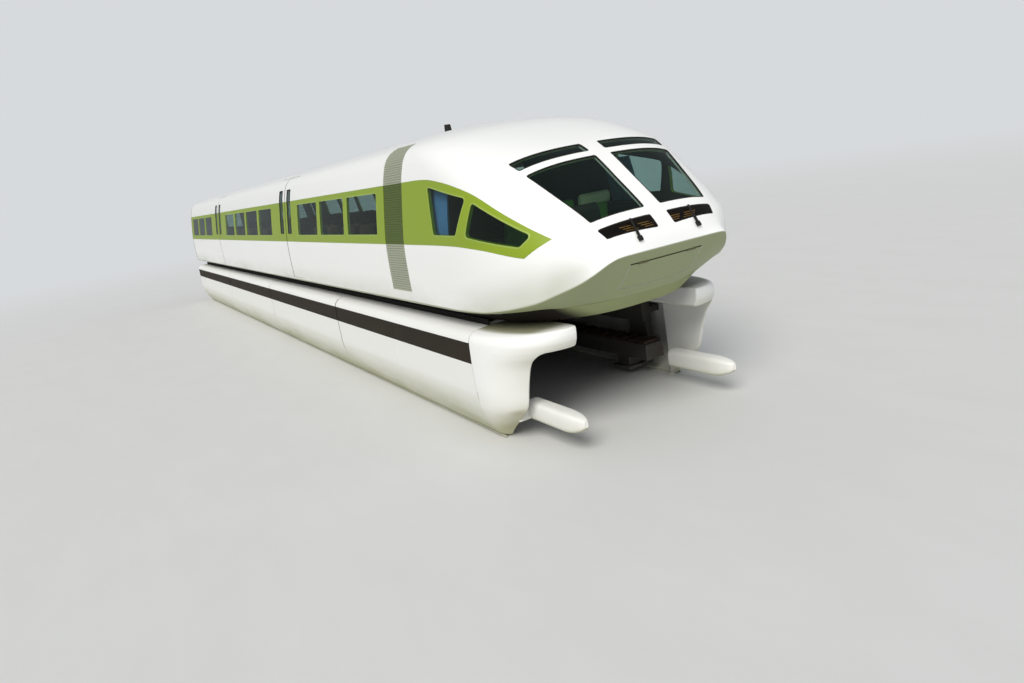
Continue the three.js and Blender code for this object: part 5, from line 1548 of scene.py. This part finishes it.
def trimPart(x, corners):
    # Flat ring round an opening, at x
    outline = roundedOutline(corners, 0.05)
    rings = []
    for out, depth in ((-0.004, 0.0), (0.030, 0.0), (0.030, -0.012), (-0.004, -0.012)):
        moved = grownOutline(outline, out)
        rings.append(np.column_stack([np.full(len(moved), x + depth), moved]))
    return np.stack(rings, 1).reshape(-1, 3), [gridQuads(len(outline), 4, closeRows=True, closeColumns=True)]


def makeEnds():
    partition = newObject("cabPartition", [wallPart(*ends["partitionX"])])
    carve(partition, [boxPart(9.9, 10.1, -0.38, 0.38, 1.9, 3.85)])
    finishPiece(partition, "lining", "darkLining", ["cab_partition"])
    (x0, x1), half, hole, top = ends["rearWallX"], ends["doorHalf"], ends["holeHalf"], ends["holeTop"]
    wall = newObject("rearWall", [wallPart(x0, x1)])
    carve(wall, [boxPart(x0 - 0.1, x1 + 0.1, -hole, hole, 1.9, top)])
    finishPiece(wall, "lining", "lining", ["rear_bulkhead"])
    ring = trimPart(x0 - 0.004, rectangle(-hole, hole, 1.99, top))
    rail = boxPart(x1 - 0.01, x1 + 0.06, -0.5, 1.4, 3.82, 3.86)
    addPiece("gangwayTrim", [ring, rail], "lining", "steel", bevel=0.003)
    doorX = x1 + ends["doorGap"]
    leaf = boxPart(doorX, doorX + ends["doorThick"], -half, half, ends["doorBottom"], ends["doorTop"])
    opening = roundedOutline(rectangle(-0.28, 0.28, 2.75, 3.5), 0.06)
    door = carve(newObject("gangwayDoor", [leaf]), [alongX(opening, doorX - 0.1, doorX + 0.2)])
    finishPiece(door, "lining", "lining", ["gangway_door"], body="gangway_door", bevel=0.004)
    pane = alongX(grownOutline(opening, -0.001), doorX + 0.018, doorX + 0.026)
    addPiece("gangwayDoorPane", [pane], "tinted_glass", "glass", body="gangway_door")
    fittings = [boxPart(doorX + 0.005, doorX + 0.04, -0.08, 0.08, 3.75, 3.8195),
                boxPart(doorX - 0.0065, doorX, -0.40, -0.37, 2.75, 3.05)]
    addPiece("gangwayDoorFittings", fittings, "lining", "steel", body="gangway_door", bevel=0.002)


def makeBellows():
    # Pleats: the section shrinks and grows along x by a cosine, four times over the frame's depth
    line, normal = (part[::32] for part in sectionAt(-13.4))
    (x0, x1), rings = bellows["x"], []
    for x in np.linspace(x0, x1, bellows["steps"]):
        wave = 0.5 - 0.5 * math.cos((x - x0) / (x1 - x0) * 2 * math.pi * bellows["pleats"])
        outer = line - normal * (bellows["outside"] + bellows["depth"] * wave)
        inner = line - normal * bellows["inside"]
        outer[-1, 0] = inner[-1, 0] = 0
        outer[0, 1] = inner[0, 1] = bodyShape["bottomZ"] + 0.002
        rings.append(pleatedRing(x, outer, inner))
    addPiece("gangwayFrame", [tubePart(rings)], "bellows_rubber", "rubber", ["gangway_bellows"], smooth=50)


studio = {
    "floorRadius": 900.0, "floorColour": (0.62, 0.62, 0.61), "fade": (13.0, 58.0),
    "backdrop": (0.68, 0.70, 0.715), "skyColour": (0.86, 0.92, 1.0), "sky": 0.42,
    "lights": [  # name, direction towards it, strength, width in degrees, colour
        ("keyLight", (0.50, -0.52, 0.69), 3.0, 34, (1.0, 0.975, 0.93)),
        ("fillLight", (0.75, 0.55, 0.30), 0.35, 60, (0.92, 0.96, 1.0)),
    ],
}


def makeFloor():
    # Pale floor that fades with distance into the backdrop's colour
    points = np.column_stack([circle(studio["floorRadius"], 96), np.zeros(96)])
    piece = newObject("studioFloor", [(points, [np.arange(96)[None]])], outward=False)
    material = paintMaterial("studioFloor", studio["floorColour"], (0.54, 0.54, 0.52), 0.75, 0.0,
                             dustAndShadeShare=0.2, cloudShare=0.15)
    tree = material.node_tree
    place = addNode(tree, "TexCoord").outputs["Object"]
    reach = addNode(tree, "VectorMath", {0: place}, operation="LENGTH").outputs["Value"]
    glow = addNode(tree, "Emission", {"Color": studio["backdrop"]})
    mixed = addNode(tree, "MixShader", {0: smoothFade(tree, reach, *studio["fade"]),
                                        1: tree.nodes["Principled BSDF"].outputs[0], 2: glow.outputs[0]})
    fill(tree, tree.nodes["Material Output"].inputs["Surface"], mixed.outputs[0])
    piece.data.materials.append(material)


def makeLight():
    # Soft light from all round, seen as the backdrop's colour, and two wide lights from afar
    world = bpy.data.worlds.new("studio")
    bpy.context.scene.world = world
    world.use_nodes = True
    tree = world.node_tree
    sky = tree.nodes["Background"]
    fill(tree, sky.inputs["Color"], studio["skyColour"])
    fill(tree, sky.inputs["Strength"], studio["sky"])
    seen = addNode(tree, "Background", {"Color": studio["backdrop"]})
    path = addNode(tree, "LightPath").outputs["Is Camera Ray"]
    mixed = addNode(tree, "MixShader", {0: path, 1: sky.outputs[0], 2: seen.outputs[0]})
    fill(tree, tree.nodes["World Output"].inputs["Surface"], mixed.outputs[0])
    for name, towards, strength, width, colour in studio["lights"]:
        data = bpy.data.lights.new(name, "SUN")
        data.energy, data.angle, data.color = strength, math.radians(width), colour
        light = linked(name, data)
        light.location = Vector(towards) * 40
        light.rotation_euler = (-Vector(towards)).to_track_quat("-Z", "Y").to_euler()


pads = makePads()
shellSource = makeShell()
print("shell made:", len(shellSource.data.polygons), "faces")
makeBody(shellSource)
makeDoorSeals()
makeNose(shellSource)
bpy.data.objects.remove(shellSource)
makeLouvre()
makeGlazing()
makeLamps()
makeWipers()
makeSkirts()
makeFairings()
makeUnderside()
makeAntenna()
makeChassis()
makeSaloonSeats(pads)
makeCab(pads)
makeEnds()
makeBellows()
makeFloor()
makeLight()
bpy.context.scene.view_settings.view_transform = "Standard"

print("pieces made")
